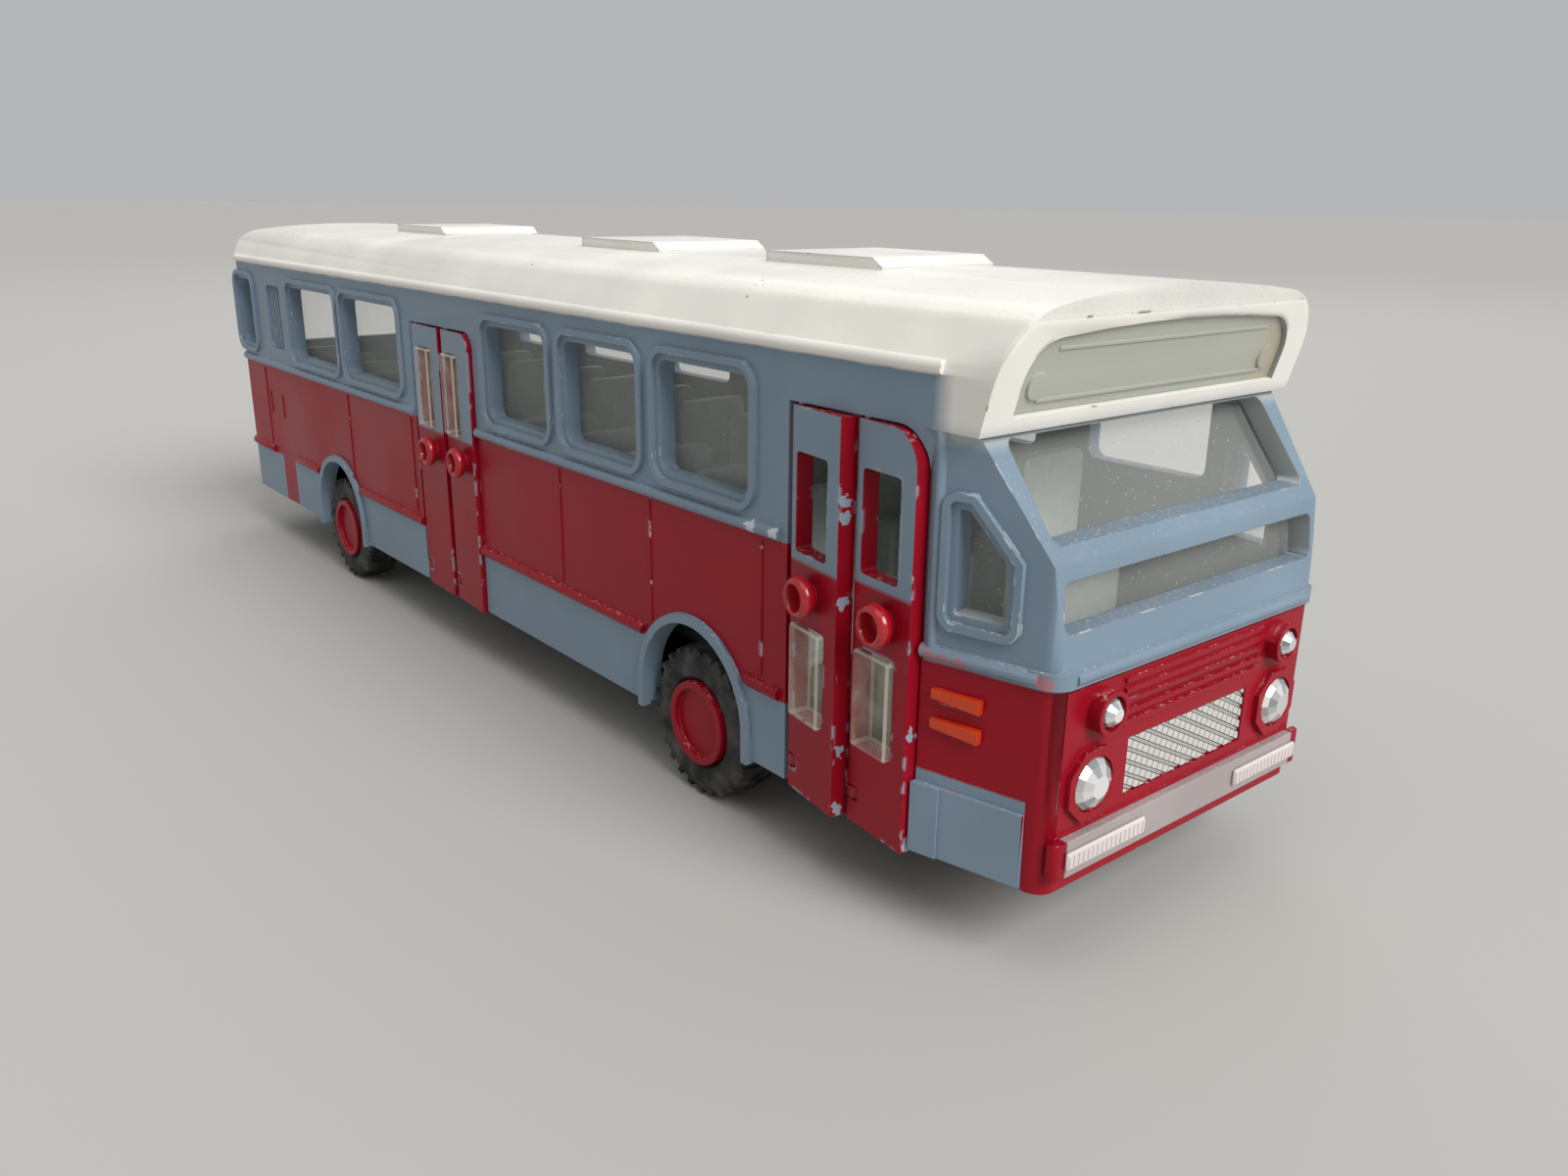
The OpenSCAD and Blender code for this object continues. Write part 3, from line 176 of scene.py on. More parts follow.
class BusSizes(bpy.types.PropertyGroup):
    """Sizes of the looks, and the lines of the livery."""

    roof_line: length("Roof line", "Lower edge of the cream along the sides", 56.4)
    box_line: length("Box line", "Lower edge of the cream at the destination box", 51.3)
    waist_line: length("Waist line", "Lower edge of the blue-grey window band", 36.4)
    belt_line: length("Belt line", "Lower edge of the blue-grey round the nose", 29.6)
    skirt_line: length("Skirt line", "Upper edge of the blue-grey skirts", 18.3)
    door_line: length("Door line", "Change of colour on the door leaves", 35.2)
    nose_x: length("Nose", "Where the nose's livery starts", 94.8)
    corner_x: length("Corner", "Where the red front corners start", 106.3)
    shoulder_z: length("Shoulder height", "Height from which the roof's shoulders curve in", 57.7)
    shoulder_l: length("Shoulder length", "Least length of a face along the roof's shoulders", 150)
    strip_x: length("Strip", "Middle of the red engine hatch in the skirts", -84.7)
    strip_half: length("Strip half width", "Half the length of the red engine hatch", 3.5)
    arch_r: length("Arch radius", "Outer radius of the blue-grey arch lips", 11.4)
    arch_z: length("Arch height", "Centre of the arch lips over the ground", 12.3)
    silver_end: length("Silver end", "Half width at which the bumpers turn red", 19.6)
    paint_edge: length("Paint edge", "Softness of a sprayed edge", 0.25)
    paint_drift: length("Paint drift", "How far a sprayed edge wanders", 0.15)
    paint_round: length("Paint round", "How far the paint rounds an edge", 0.12)
    roof_soft: length("Roof softness", "How far the thick cream rounds the roof's edges", 0.9)
    roof_soft_start: length("Roof softness start", "From the shoulder height up to the rounding", 0.4)
    roof_soft_end: length("Roof softness end", "From the shoulder height to the full rounding", 0.9)
    fade: length("Fade", "Softness of the cream on the cheeks", 3.2)
    cheek_fade: length("Cheek fade", "Softness of the cream's rear edge on the cheeks", 2.5)
    belt_chips: length("Belt chips", "How far over the belt line red shows in the chips", 1.8)
    edge_wear: length("Edge wear", "How far from an edge the paint chips", 0.25)
    body_wear: length("Body wear", "How far from the body's edges the paint chips", 0.35)
    door_wear: length("Door wear", "How far from a leaf's edges the paint chips", 0.8)
    knock_r: length("Knock radius", "Radius of a larger knock in the paint", 0.7)
    knock_fray: length("Knock fray", "How far a knock's edge wanders", 0.5)
    casting_wall: length("Casting wall", "Depth from which a face counts as inside", 2.5)
    taper_x: length("Taper start", "Where the sides start to draw in", 93.75)
    taper_y: length("Taper half width", "Half width at the taper's start", 25)
    taper_angle: angle("Taper angle", "Angle of the cheeks to the sides", 12.98)
    indicator_start: length("Indicator start", "From the taper's start to the bars", 2.5)
    indicator_l: length("Indicator length", "Length of a bar", 5.3)
    indicator_z: length("Indicator height", "Lower edge of the upper bar", 25.75)
    indicator_h: length("Indicator bar", "Height of a bar at its front end", 1.4)
    indicator_pitch: length("Indicator pitch", "Between the two bars", 3)
    indicator_proud: length("Indicator rise", "How far a bar stands proud at its front end", 0.8)
    indicator_thin: length("Indicator taper", "How much lower a bar is at its rear end", 0.4)
    indicator_sink: length("Indicator sink", "How deep a bar sits in the cheek", 0.4)
    indicator_fall: length("Indicator fall", "How much flatter a bar is at its rear end", 0.2)
    indicator_round: length("Indicator round", "Rounding of a bar's edges", 0.12)
    hinge_lug_y: length("Hinge lugs", "Half width past which the baseplate is sprayed red", 22.8)
    lug_w: length("Lug width", "Along the tyre's tread", 0.75)
    lug_h: length("Lug height", "How far a lug stands proud", 0.3)
    lug_sink: length("Lug sink", "How deep a lug reaches into the tyre", 0.9)
    lug_fall: length("Lug fall", "How much lower a lug is at the shoulder", 0.35)
    tyre_gap: length("Tyre gap", "Between the hub and the tyre", 0.05)
    grille_slant: angle("Grille slant", "Fall of the grille's rows towards the left side", 27)
    grille_row_pitch: length("Grille rows", "Between two rows of blocks", 1.18)
    grille_block_pitch: length("Grille blocks", "Between two blocks of a row", 1.1)
    grille_block_l: length("Grille block length", "Length of a block", 0.96)
    grille_block_w: length("Grille block width", "Width of a block", 0.7)
    grille_bar_w: length("Grille bar", "Width of the low bar between two rows", 0.3)
    grille_block_h: length("Grille block height", "Rise of a block over the plate", 0.4)
    grille_bar_h: length("Grille bar height", "Rise of a low bar over the plate", 0.24)
    grille_depth: length("Grille depth", "From the plate to the grille's front", 0.5)
    # Depths under the grille's front over which it turns from bright to the darker gap colour
    grille_dark_start: length("Grille dirt", "Depth under the front at which the dirt ends", 0.15)
    grille_dark_full: length("Grille full dirt", "Depth under the front at which it is full", 0.45)
    grille_rim: length("Grille rim", "Bare border of the plate", 0.1)
    sign_t: length("Sign thickness", "Thickness of the destination panel", 0.7)
    stain_start: length("Stain start", "Half width at which the sign's stain starts", 15)
    stain_end: length("Stain end", "Half width at which the sign's stain is full", 21)
    sign_rim: length("Sign rim", "Half width and rise of a raised line on the sign", 0.2)
    sign_rim_round: length("Sign rim round", "Rounding of a raised line", 0.1)
    sign_round: length("Sign round", "Rounding of the sign's edges", 0.15)
    bumper_round: length("Bumper round", "Rounding of the bumpers' edges", 0.3)
    lamp_round: length("Lamp round", "Rounding of the rear lamps", 0.35)
    seat_round: length("Seat round", "Rounding of the seats' edges", 0.25)
    screw_round: length("Screw round", "Rounding of the screw heads", 0.15)
    hub_round: length("Hub round", "Rounding of the hubs' edges", 0.2)
    insert_round: length("Insert round", "Bevel of the clear inserts", 0.25)
    pad_round: length("Pad round", "Rounding of the pads' edges", 0.25)
    pad_inner: length("Pad start", "Half width at which the pads start", 8)
    pad_rib: length("Pad rib", "Between two ribs of a bumper pad", 0.7)
    pad_rib_h: length("Pad rib height", "Rise of a rib", 0.05)
    pad_edge: length("Pad edge", "From a rib's end to the pad's edge", 0.3)
    floor_r: length("Floor radius", "Radius of the floor", 6000)
    sky_level: number("Sky level", "Strength of the room's even light", 0.52)
    sun_level: number("Sun level", "Strength of the soft daylight", 2.9)
    sun_angle: angle("Sun angle", "Width of the daylight in the sky", 35)
    sun_way: bpy.props.FloatVectorProperty(
        name="Sun direction", description="Way the daylight falls", default=(-0.77, -0.04, -0.62),
        subtype="DIRECTION")
    camera_place: bpy.props.FloatVectorProperty(
        name="Camera", description="Where the camera stands", default=(0.16985, -0.104, 0.0715),
        subtype="TRANSLATION")
    camera_aim: bpy.props.FloatVectorProperty(
        name="Aim", description="What the camera looks at", default=(0.02329, 0.01738, 0.00996),
        subtype="TRANSLATION")
    camera_roll: angle("Roll", "Turn of the camera about its view", 0.77)
    camera_lens: number("Lens", "Focal length on a 36 mm sensor, in millimetres", 28.15)


# Materials


def plug(tree, node, inputs):
    """Link or set a node's inputs; a node among them stands for its first output in use."""
    for key, value in inputs.items():
        if isinstance(value, bpy.types.Node):
            value = next(output for output in value.outputs if output.enabled)
        if isinstance(value, bpy.types.NodeSocket):
            tree.links.new(value, node.inputs[key])
        else:
            node.inputs[key].default_value = value


def add(tree, kind, inputs=None, **settings):
    """Add a shader node of a kind, with its settings and inputs."""
    node = tree.nodes.new("ShaderNode" + kind)
    for name, value in settings.items():
        setattr(node, name, value)
    plug(tree, node, inputs or {})
    return node


def finish(maker):
    """The material that a maker function gives, made once."""
    name = maker.__name__
    material = bpy.data.materials.get(name)
    if material is None:
        material = bpy.data.materials.new(name)
        material.use_nodes = True
        tree = material.node_tree
        maker(tree, tree.nodes["Principled BSDF"], bpy.context.scene.bus_colours)
    return material


def enamel(tree, shader, paint, chips, chip_share, reach=None, spot_level=1.45, round_off=None, marks=0.0):
    """Sprayed gloss enamel on a casting: soft edges, chips along them, faint runs and dust on ledges."""
    place = add(tree, "TexCoord").outputs["Object"]
    sizes = bpy.context.scene.bus_sizes
    soft = add(tree, "Bevel", {"Radius": round_off or sizes.paint_round}, samples=8)
    normal = add(tree, "NewGeometry").outputs["Normal"]
    worn_round = add(tree, "Bevel", {"Radius": reach or sizes.edge_wear}, samples=6)
    flat = add(tree, "VectorMath", {0: worn_round, 1: normal}, operation="DOT_PRODUCT")
    edge = add(tree, "MapRange", {"Value": flat, "From Min": 0.965, "From Max": 0.88})
    patches = add(tree, "TexNoise", {
        "Vector": place, "Scale": 1 / (5.0 * MM), "Detail": 3.0, "Roughness": 0.7})
    chipped = add(tree, "MapRange", {
        "Value": patches, "From Min": chip_share, "From Max": chip_share + 0.03})
    rubbed = add(tree, "Math", {0: edge, 1: chipped}, operation="MULTIPLY")
    # Knocks away from the edges come in loose groups
    knocks = add(tree, "TexNoise", {
        "Vector": place, "Scale": 1 / (1.7 * MM), "Detail": 2.0, "Roughness": 0.6})
    groups = add(tree, "TexNoise", {"Vector": place, "Scale": 1 / (19.0 * MM), "Detail": 1.0})
    crowd = add(tree, "Math", {0: knocks, 1: groups})
    knocked = add(tree, "Math", {0: crowd, 1: spot_level}, operation="GREATER_THAN")
    spots = add(tree, "Math", {0: knocked, 1: marks}, operation="MAXIMUM")
    bare = add(tree, "Math", {0: rubbed, 1: spots}, operation="MAXIMUM")
    # The eye sees a slow change of shade where the spray lies thicker
    cloud = add(tree, "TexNoise", {"Vector": place, "Scale": 1 / (14.0 * MM), "Detail": 2.0})
    shade = add(tree, "MapRange", {
        "Value": cloud, "From Min": 0.3, "From Max": 0.7, "To Min": 0.93, "To Max": 1.05})
    sprayed = add(tree, "Mix", {0: 1.0, 6: paint, 7: shade}, data_type="RGBA", blend_type="MULTIPLY")
    # Fine grit of dust, drawn as coarse as it needs to show
    grit = add(tree, "TexNoise", {"Vector": place, "Scale": 1 / (0.45 * MM), "Detail": 1.0})
    up = add(tree, "SeparateXYZ", {0: normal}).outputs["Z"]
    ledge = add(tree, "MapRange", {"Value": up, "From Min": 0.5, "To Max": 0.5})
    grains = add(tree, "MapRange", {"Value": grit, "From Min": 0.58, "From Max": 0.72})
    dusty = add(tree, "Math", {0: ledge, 1: grains}, operation="MULTIPLY")
    dusted = add(tree, "Mix", {
        0: dusty, 6: sprayed, 7: bpy.context.scene.bus_colours.dust}, data_type="RGBA")
    worn = add(tree, "Mix", {0: bare, 6: dusted, 7: chips}, data_type="RGBA")
    gloss = add(tree, "MapRange", {
        "Value": cloud, "From Min": 0.3, "From Max": 0.7, "To Min": 0.3, "To Max": 0.42})
    plug(tree, shader, {"Base Color": worn, "Roughness": gloss, "Normal": soft, "Specular IOR Level": 0.2})


def knock_marks(tree, place, spots):
    """Ragged marks at given places, where a knock took the paint off."""
    sizes = bpy.context.scene.bus_sizes
    ragged = add(tree, "TexNoise", {"Vector": place, "Scale": 1 / (0.8 * MM), "Detail": 2.0})
    fray = add(tree, "MapRange", {
        "Value": ragged, "From Min": 0.3, "From Max": 0.7,
        "To Min": -sizes.knock_fray, "To Max": sizes.knock_fray})
    marks = 0.0
    for spot in spots:
        away = add(tree, "VectorMath", {0: place, 1: spot}, operation="DISTANCE")
        frayed = add(tree, "Math", {0: away, 1: fray})
        hit = add(tree, "Math", {0: frayed, 1: sizes.knock_r}, operation="LESS_THAN")
        marks = add(tree, "Math", {0: hit, 1: marks}, operation="MAXIMUM")
    return marks


def body_knocks(sizes):
    """Places of the knocks at the front end of the right waist rail and along the belt of the nose."""
    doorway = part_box("front_door_rear_leaf")[0].x
    rail = -sizes.taper_y - sizes.knock_r
    z = sizes.waist_line + sizes.knock_r
    spots = [Vector((doorway - back * MM, rail, z)) for back in RAIL_KNOCKS_MM]
    for ahead in BELT_KNOCKS_MM:
        x = sizes.nose_x + ahead * MM
        y = rail + (x - sizes.taper_x) * math.tan(sizes.taper_angle)
        spots.append(Vector((x, y, sizes.belt_line + sizes.knock_r)))
    return spots


def door_knocks(sizes):
    """Places of the knocks on the free edges of the front leaves, at shares of their height."""
    spots = []
    for leaf, shares in DOOR_KNOCK_SHARES.items():
        low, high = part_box(leaf + "_leaf")
        for share in shares:
            spots.append(Vector((high.x, low.y + sizes.knock_r, low.z + share * (high.z - low.z))))
    return spots


def livery_enamel(tree, shader, colours):
    """Cream, blue-grey and red enamel sprayed through masks on zinc: soft, slightly wavy lines."""
    sizes = bpy.context.scene.bus_sizes
    place = add(tree, "TexCoord").outputs["Object"]
    wander = add(tree, "TexNoise", {"Vector": place, "Scale": 1 / (4.0 * MM), "Detail": 2.0})
    drift = add(tree, "MapRange", {
        "Value": wander, "To Min": -sizes.paint_drift, "To Max": sizes.paint_drift})
    axes = add(tree, "SeparateXYZ", {0: place})
    x = axes.outputs["X"]
    z = add(tree, "Math", {0: axes.outputs["Z"], 1: drift})
    soft = sizes.paint_edge / 2
    nose = add(tree, "MapRange", {
        "Value": x, "From Min": sizes.nose_x - soft, "From Max": sizes.nose_x + soft})
    corner = add(tree, "MapRange", {
        "Value": x, "From Min": sizes.corner_x - soft, "From Max": sizes.corner_x + soft})
    top = add(tree, "MapRange", {"Value": nose, "To Min": sizes.waist_line, "To Max": sizes.belt_line})
    strip = add(tree, "Math", {0: x, 1: sizes.strip_x, 2: sizes.strip_half}, operation="COMPARE")
    to_ground = add(tree, "Math", {0: corner, 1: strip}, operation="MAXIMUM")
    low = add(tree, "MapRange", {"Value": to_ground, "To Min": sizes.skirt_line, "To Max": 0.0})
    over = add(tree, "Math", {0: z, 1: low}, operation="SUBTRACT")
    under = add(tree, "Math", {0: top, 1: z}, operation="SUBTRACT")
    nearer = add(tree, "Math", {0: over, 1: under}, operation="MINIMUM")
    red = add(tree, "MapRange", {"Value": nearer, "From Min": -soft, "From Max": soft})
    # Arch lips and their inner faces are blue-grey
    middle = (wheel_place("front").x + wheel_place("rear").x) / 2
    half = (wheel_place("front").x - wheel_place("rear").x) / 2
    from_middle = add(tree, "Math", {0: x, 1: middle}, operation="SUBTRACT")
    along = add(tree, "Math", {0: from_middle}, operation="ABSOLUTE")
    across = add(tree, "Math", {0: along, 1: half}, operation="SUBTRACT")
    raised = add(tree, "Math", {0: axes.outputs["Z"], 1: sizes.arch_z}, operation="SUBTRACT")
    above = add(tree, "Math", {0: raised, 1: 0.0}, operation="MAXIMUM")
    ray = add(tree, "CombineXYZ", {0: across, 1: above})
    reach = add(tree, "VectorMath", {0: ray}, operation="LENGTH")
    ring = add(tree, "Math", {0: reach, 1: sizes.arch_r}, operation="LESS_THAN")
    off_lip = add(tree, "Math", {0: 1.0, 1: ring}, operation="SUBTRACT")
    red = add(tree, "Math", {0: red, 1: off_lip}, operation="MULTIPLY")
    lower = add(tree, "Mix", {0: red, 6: colours.blue_grey, 7: colours.red}, data_type="RGBA")
    # Cream roof, which drifts softly down the cheeks beside the destination box
    roof = add(tree, "MapRange", {
        "Value": z, "From Min": sizes.roof_line - soft, "From Max": sizes.roof_line + soft})
    cheek = add(tree, "MapRange", {
        "Value": x, "From Min": sizes.nose_x, "From Max": sizes.nose_x + sizes.cheek_fade})
    half_fade = sizes.fade / 2
    drifted = add(tree, "MapRange", {
        "Value": z, "From Min": sizes.box_line - half_fade, "From Max": sizes.box_line + half_fade},
        interpolation_type="SMOOTHSTEP")
    drifted = add(tree, "Math", {0: cheek, 1: drifted}, operation="MULTIPLY")
    pale = add(tree, "Math", {0: roof, 1: drifted}, operation="MAXIMUM")
    coat = add(tree, "Mix", {0: pale, 6: lower, 7: colours.cream}, data_type="RGBA")
    inside = add(tree, "Attribute", attribute_name="inside").outputs["Fac"]
    paint = add(tree, "Mix", {0: inside, 6: coat, 7: colours.lining}, data_type="RGBA")
    # Along the nose's belt the red lies under the blue-grey, and shows in its chips
    belt = add(tree, "Math", {0: z, 1: sizes.belt_line + sizes.belt_chips}, operation="LESS_THAN")
    on_belt = add(tree, "Math", {0: nose, 1: belt}, operation="MULTIPLY")
    share = add(tree, "Math", {0: on_belt, 1: 0.7}, operation="MULTIPLY")
    below = add(tree, "Mix", {0: share, 6: colours.primer, 7: colours.red}, data_type="RGBA")
    chips = add(tree, "Mix", {0: pale, 6: below, 7: colours.dark_chip}, data_type="RGBA")
    marks = knock_marks(tree, place, body_knocks(sizes))
    level = add(tree, "MapRange", {"Value": pale, "To Min": 1.5, "To Max": 1.45})
    round_off = add(tree, "MapRange", {
        "Value": axes.outputs["Z"], "From Min": sizes.shoulder_z + sizes.roof_soft_start,
        "From Max": sizes.shoulder_z + sizes.roof_soft_end, "To Min": sizes.paint_round,
        "To Max": sizes.roof_soft})
    enamel(tree, shader, paint, chips, 0.6, sizes.body_wear, level, round_off, marks)


def door_enamel(tree, shader, colours):
    """Red enamel with a blue-grey upper face, worn to a pale undercoat along its edges."""
    sizes = bpy.context.scene.bus_sizes
    place = add(tree, "TexCoord").outputs["Object"]
    z = add(tree, "SeparateXYZ", {0: place}).outputs["Z"]
    upper = add(tree, "MapRange", {
        "Value": z, "From Min": sizes.door_line - sizes.paint_edge,
        "From Max": sizes.door_line + sizes.paint_edge})
    face = add(tree, "Attribute", attribute_name="leaf_face").outputs["Fac"]
    blue = add(tree, "Math", {0: upper, 1: face}, operation="MULTIPLY")
    paint = add(tree, "Mix", {0: blue, 6: colours.red, 7: colours.blue_grey}, data_type="RGBA")
    marks = knock_marks(tree, place, door_knocks(sizes))
    enamel(tree, shader, paint, colours.undercoat, 0.55, sizes.door_wear, 1.42, marks=marks)


def red_enamel(tree, shader, colours):
    """Gloss red enamel on metal, with a few pale chips."""
    enamel(tree, shader, colours.red, colours.primer, 0.68)


def knob_enamel(tree, shader, colours):
    """Thick bright red gloss on the knobs, a little lighter than the leaves' red."""
    # The knobs' red is set a little lighter than the leaves' red
    plug(tree, shader, {"Base Color": colours.knob_red, "Roughness": 0.22, "Coat Weight": 0.4})


def orange_enamel(tree, shader, colours):
    """Hand-touched orange gloss on the indicator bars."""
    plug(tree, shader, {"Base Color": colours.orange, "Roughness": 0.35})


def aluminium_paint(tree, shader, colours):
    """Satin aluminium paint, worn and a little grimy, that stops short of the red ends of the bumper."""
    sizes = bpy.context.scene.bus_sizes
    place = add(tree, "TexCoord").outputs["Object"]
    axes = add(tree, "SeparateXYZ", {0: place})
    wide = add(tree, "Math", {0: axes.outputs["Y"]}, operation="ABSOLUTE")
    end = add(tree, "MapRange", {
        "Value": wide, "From Min": sizes.silver_end, "From Max": sizes.silver_end + sizes.paint_edge})
    paint = add(tree, "Mix", {0: end, 6: colours.silver, 7: colours.red}, data_type="RGBA")
    enamel(tree, shader, paint, colours.primer, 0.6)
    plug(tree, shader, {"Metallic": 0.2})


def pad_paint(tree, shader, colours):
    """Off-white satin paint on the ribbed pads, grey in the grooves."""
    enamel(tree, shader, colours.pad, colours.silver, 0.6)


def clear_polystyrene(tree, shader, colours):
    """Clear moulded polystyrene, dulled by dust: you see through it, with pale specks."""
    place = add(tree, "TexCoord").outputs["Object"]
    specks = add(tree, "TexNoise", {"Vector": place, "Scale": 1 / (0.3 * MM), "Detail": 0.0})
    dust = add(tree, "MapRange", {"Value": specks, "From Min": 0.79, "From Max": 0.86, "To Max": 0.35})
    film = add(tree, "Mix", {0: dust, 6: colours.clear, 7: colours.dust}, data_type="RGBA")
    veil = add(tree, "Math", {0: 0.1, 1: dust})
    plug(tree, shader, {"Base Color": film, "Alpha": veil, "Specular IOR Level": 1.0, "Roughness": 0.06})


def milky_polystyrene(tree, shader, colours):
    """Thick clear inserts, yellowed and rubbed: pale and milky, with a painted highlight on their bevelled
    edges.
    """
    place = add(tree, "TexCoord").outputs["Object"]
    haze = add(tree, "TexNoise", {"Vector": place, "Scale": 1 / (2.5 * MM), "Detail": 3.0})
    veil = add(tree, "MapRange", {
        "Value": haze, "From Min": 0.35, "From Max": 0.65, "To Min": 0.08, "To Max": 0.2})
    # Painted highlight: bevelled edges are made paler and less clear
    edge = add(tree, "Attribute", attribute_name="light_edge").outputs["Fac"]
    rim = add(tree, "Math", {0: edge, 1: 0.42}, operation="MULTIPLY")
    cover = add(tree, "Math", {0: veil, 1: rim}, operation="MAXIMUM")
    plug(tree, shader, {
        "Alpha": cover, "Base Color": colours.milky, "Specular IOR Level": 1.0, "Roughness": 0.14})


def sign_polystyrene(tree, shader, colours):
    """Clear moulding over the cream box: milky grey-green, with a caramel stain at one end."""
    sizes = bpy.context.scene.bus_sizes
    place = add(tree, "TexCoord").outputs["Object"]
    y = add(tree, "SeparateXYZ", {0: place}).outputs["Y"]
    stain = add(tree, "MapRange", {
        "Value": y, "From Min": sizes.stain_start, "From Max": sizes.stain_end, "To Max": 0.6})
    tint = add(tree, "Mix", {0: stain, 6: colours.sign, 7: colours.stain}, data_type="RGBA")
    plug(tree, shader, {"Base Color": tint, "Alpha": 0.75, "Specular IOR Level": 0.8, "Roughness": 0.22})


def seat_moulding(tree, shader, colours):
    """Matt moulded plastic of the seats and floor, dusty."""
    place = add(tree, "TexCoord").outputs["Object"]
    grit = add(tree, "TexNoise", {"Vector": place, "Scale": 1 / (1.5 * MM), "Detail": 2.0})
    film = add(tree, "MapRange", {"Value": grit, "From Min": 0.4, "From Max": 0.7, "To Max": 0.4})
    tone = add(tree, "Mix", {0: film, 6: colours.seat, 7: colours.dust}, data_type="RGBA")
    plug(tree, shader, {"Base Color": tone, "Roughness": 0.6})


def baseplate_moulding(tree, shader, colours):
    """Matt black moulded plastic of the baseplate, with body red on its hinge lugs in the doorways."""
    place = add(tree, "TexCoord").outputs["Object"]
    y = add(tree, "SeparateXYZ", {0: place}).outputs["Y"]
    lug = add(tree, "Math", {0: y, 1: -bpy.context.scene.bus_sizes.hinge_lug_y}, operation="LESS_THAN")
    tone = add(tree, "Mix", {0: lug, 6: colours.black, 7: colours.red}, data_type="RGBA")
    plug(tree, shader, {"Base Color": tone, "Roughness": 0.55})


def tyre_rubber(tree, shader, colours):
    """Soft black rubber: no gloss, grey with dust on the tread."""
    place = add(tree, "TexCoord").outputs["Object"]
    grit = add(tree, "TexNoise", {"Vector": place, "Scale": 1 / (3.0 * MM), "Detail": 3.0})
    film = add(tree, "MapRange", {"Value": grit, "From Min": 0.4, "From Max": 0.8, "To Max": 0.14})
    tone = add(tree, "Mix", {0: film, 6: colours.rubber, 7: colours.dust}, data_type="RGBA")
    plug(tree, shader, {"Base Color": tone, "Roughness": 0.75})


def drawn_steel(tree, shader, colours):
    """Bright drawn wire of the axles and pins."""
    plug(tree, shader, {"Base Color": colours.steel, "Metallic": 1.0, "Roughness": 0.3})


def foiled_jewel(tree, shader, colours):
    """Cut clear plastic over foil, with a painted reflection: each of its facets takes a lighter or darker
    tone, as if throwing back another part of the room.
    """
    # Painted reflection: the tone of each face runs from the darker jewel colour to the foil's
    facet = add(tree, "Attribute", attribute_name="facet").outputs["Fac"]
    tone = add(tree, "Mix", {0: facet, 6: colours.jewel_dark_reflection, 7: colours.jewel}, data_type="RGBA")
    plug(tree, shader, {
        "Base Color": tone, "Metallic": 0.6, "Roughness": 0.09, "Coat Weight": 1.0, "Coat Roughness": 0.03})


def bright_grille(tree, shader, colours):
    """Vacuum-plated plastic of the grille: bright, a little soft, and darker deeper down between its
    blocks, towards the plate.
    """
    sizes = bpy.context.scene.bus_sizes
    place = add(tree, "TexCoord").outputs["Object"]
    x = add(tree, "SeparateXYZ", {0: place}).outputs["X"]
    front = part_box("front_grille")[1].x
    # Darker deeper down, from just under the blocks' fronts to the plate
    raised = add(tree, "MapRange", {
        "Value": x, "From Min": front - sizes.grille_dark_full, "From Max": front - sizes.grille_dark_start})
    tone = add(tree, "Mix", {0: raised, 6: colours.grille_gap, 7: colours.jewel}, data_type="RGBA")
    plug(tree, shader, {"Base Color": tone, "Metallic": 0.75, "Roughness": 0.28})


def rear_lamp_plastic(tree, shader, colours):
    """Dark red gloss of the rear lamps."""
    plug(tree, shader, {"Base Color": colours.rear_lamp, "Roughness": 0.18, "Coat Weight": 0.5})


def pale_floor(tree, shader, colours):
    """Plain pale board under the bus."""
    plug(tree, shader, {"Base Color": colours.floor, "Roughness": 0.7})


# Shapes


def wheel_place(end):
    """Centre of an axle, from its joint."""
    return Vector(JOINTS[end + "_wheels_roll"]["pos_m"])


def piece(name, mesh, material, body="chassis", stands_for=(), smooth=True):
    """Turn a bmesh into a piece that rides a body, takes a slot and stands for CAD nodes."""
    data = bpy.data.meshes.new(name)
    mesh.to_mesh(data)
    mesh.free()
    if smooth:
        data.shade_smooth()
        data.set_sharp_from_angle(angle=SMOOTH_ANGLE)
    else:
        data.shade_flat()
    data.materials.append(finish(material))
    made = bpy.data.objects.new(name, data)
    bpy.context.scene.collection.objects.link(made)
    if smooth:
        made.modifiers.new("Even normals", "WEIGHTED_NORMAL").keep_sharp = True
    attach(made, body)
    for node in stands_for:
        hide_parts(node)
    return made


def node_copy(node):
    """A merged copy of a CAD node's mesh, with its flat triangles joined."""
    mesh = bmesh.new()
    mesh.from_mesh(frame["nodes"][node].data)
    bmesh.ops.remove_doubles(mesh, verts=mesh.verts, dist=WELD)
    bmesh.ops.dissolve_limit(mesh, angle_limit=FLAT_ANGLE, verts=mesh.verts, edges=mesh.edges)
    return mesh


def soften(mesh, width, segments=2, least=math.radians(40)):
    """Round the sharp edges."""
    sharp = [e for e in mesh.edges if e.is_manifold and e.calc_face_angle(0) > least]
    bmesh.ops.bevel(
        mesh, geom=sharp, offset=width, offset_type="OFFSET", affect="EDGES", segments=segments,
        profile=0.5, clamp_overlap=True, material=-1)


def dress(node, material, width=0.0, segments=2):
    """Put a finished copy of a CAD node in its place."""
    mesh = node_copy(node)
    if width > 0:
        soften(mesh, width, segments)
    body = frame["nodes"][node]["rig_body"]
    return piece(node + "_look", mesh, material, body, (node,))


def block(mesh, low, high):
    """Add a box between two corners, and give its vertices."""
    low, high = Vector(low), Vector(high)
    place = Matrix.Translation((low + high) / 2) @ Matrix.Diagonal((high - low).to_4d())
    place[3][3] = 1
    return bmesh.ops.create_cube(mesh, size=1, matrix=place)["verts"]


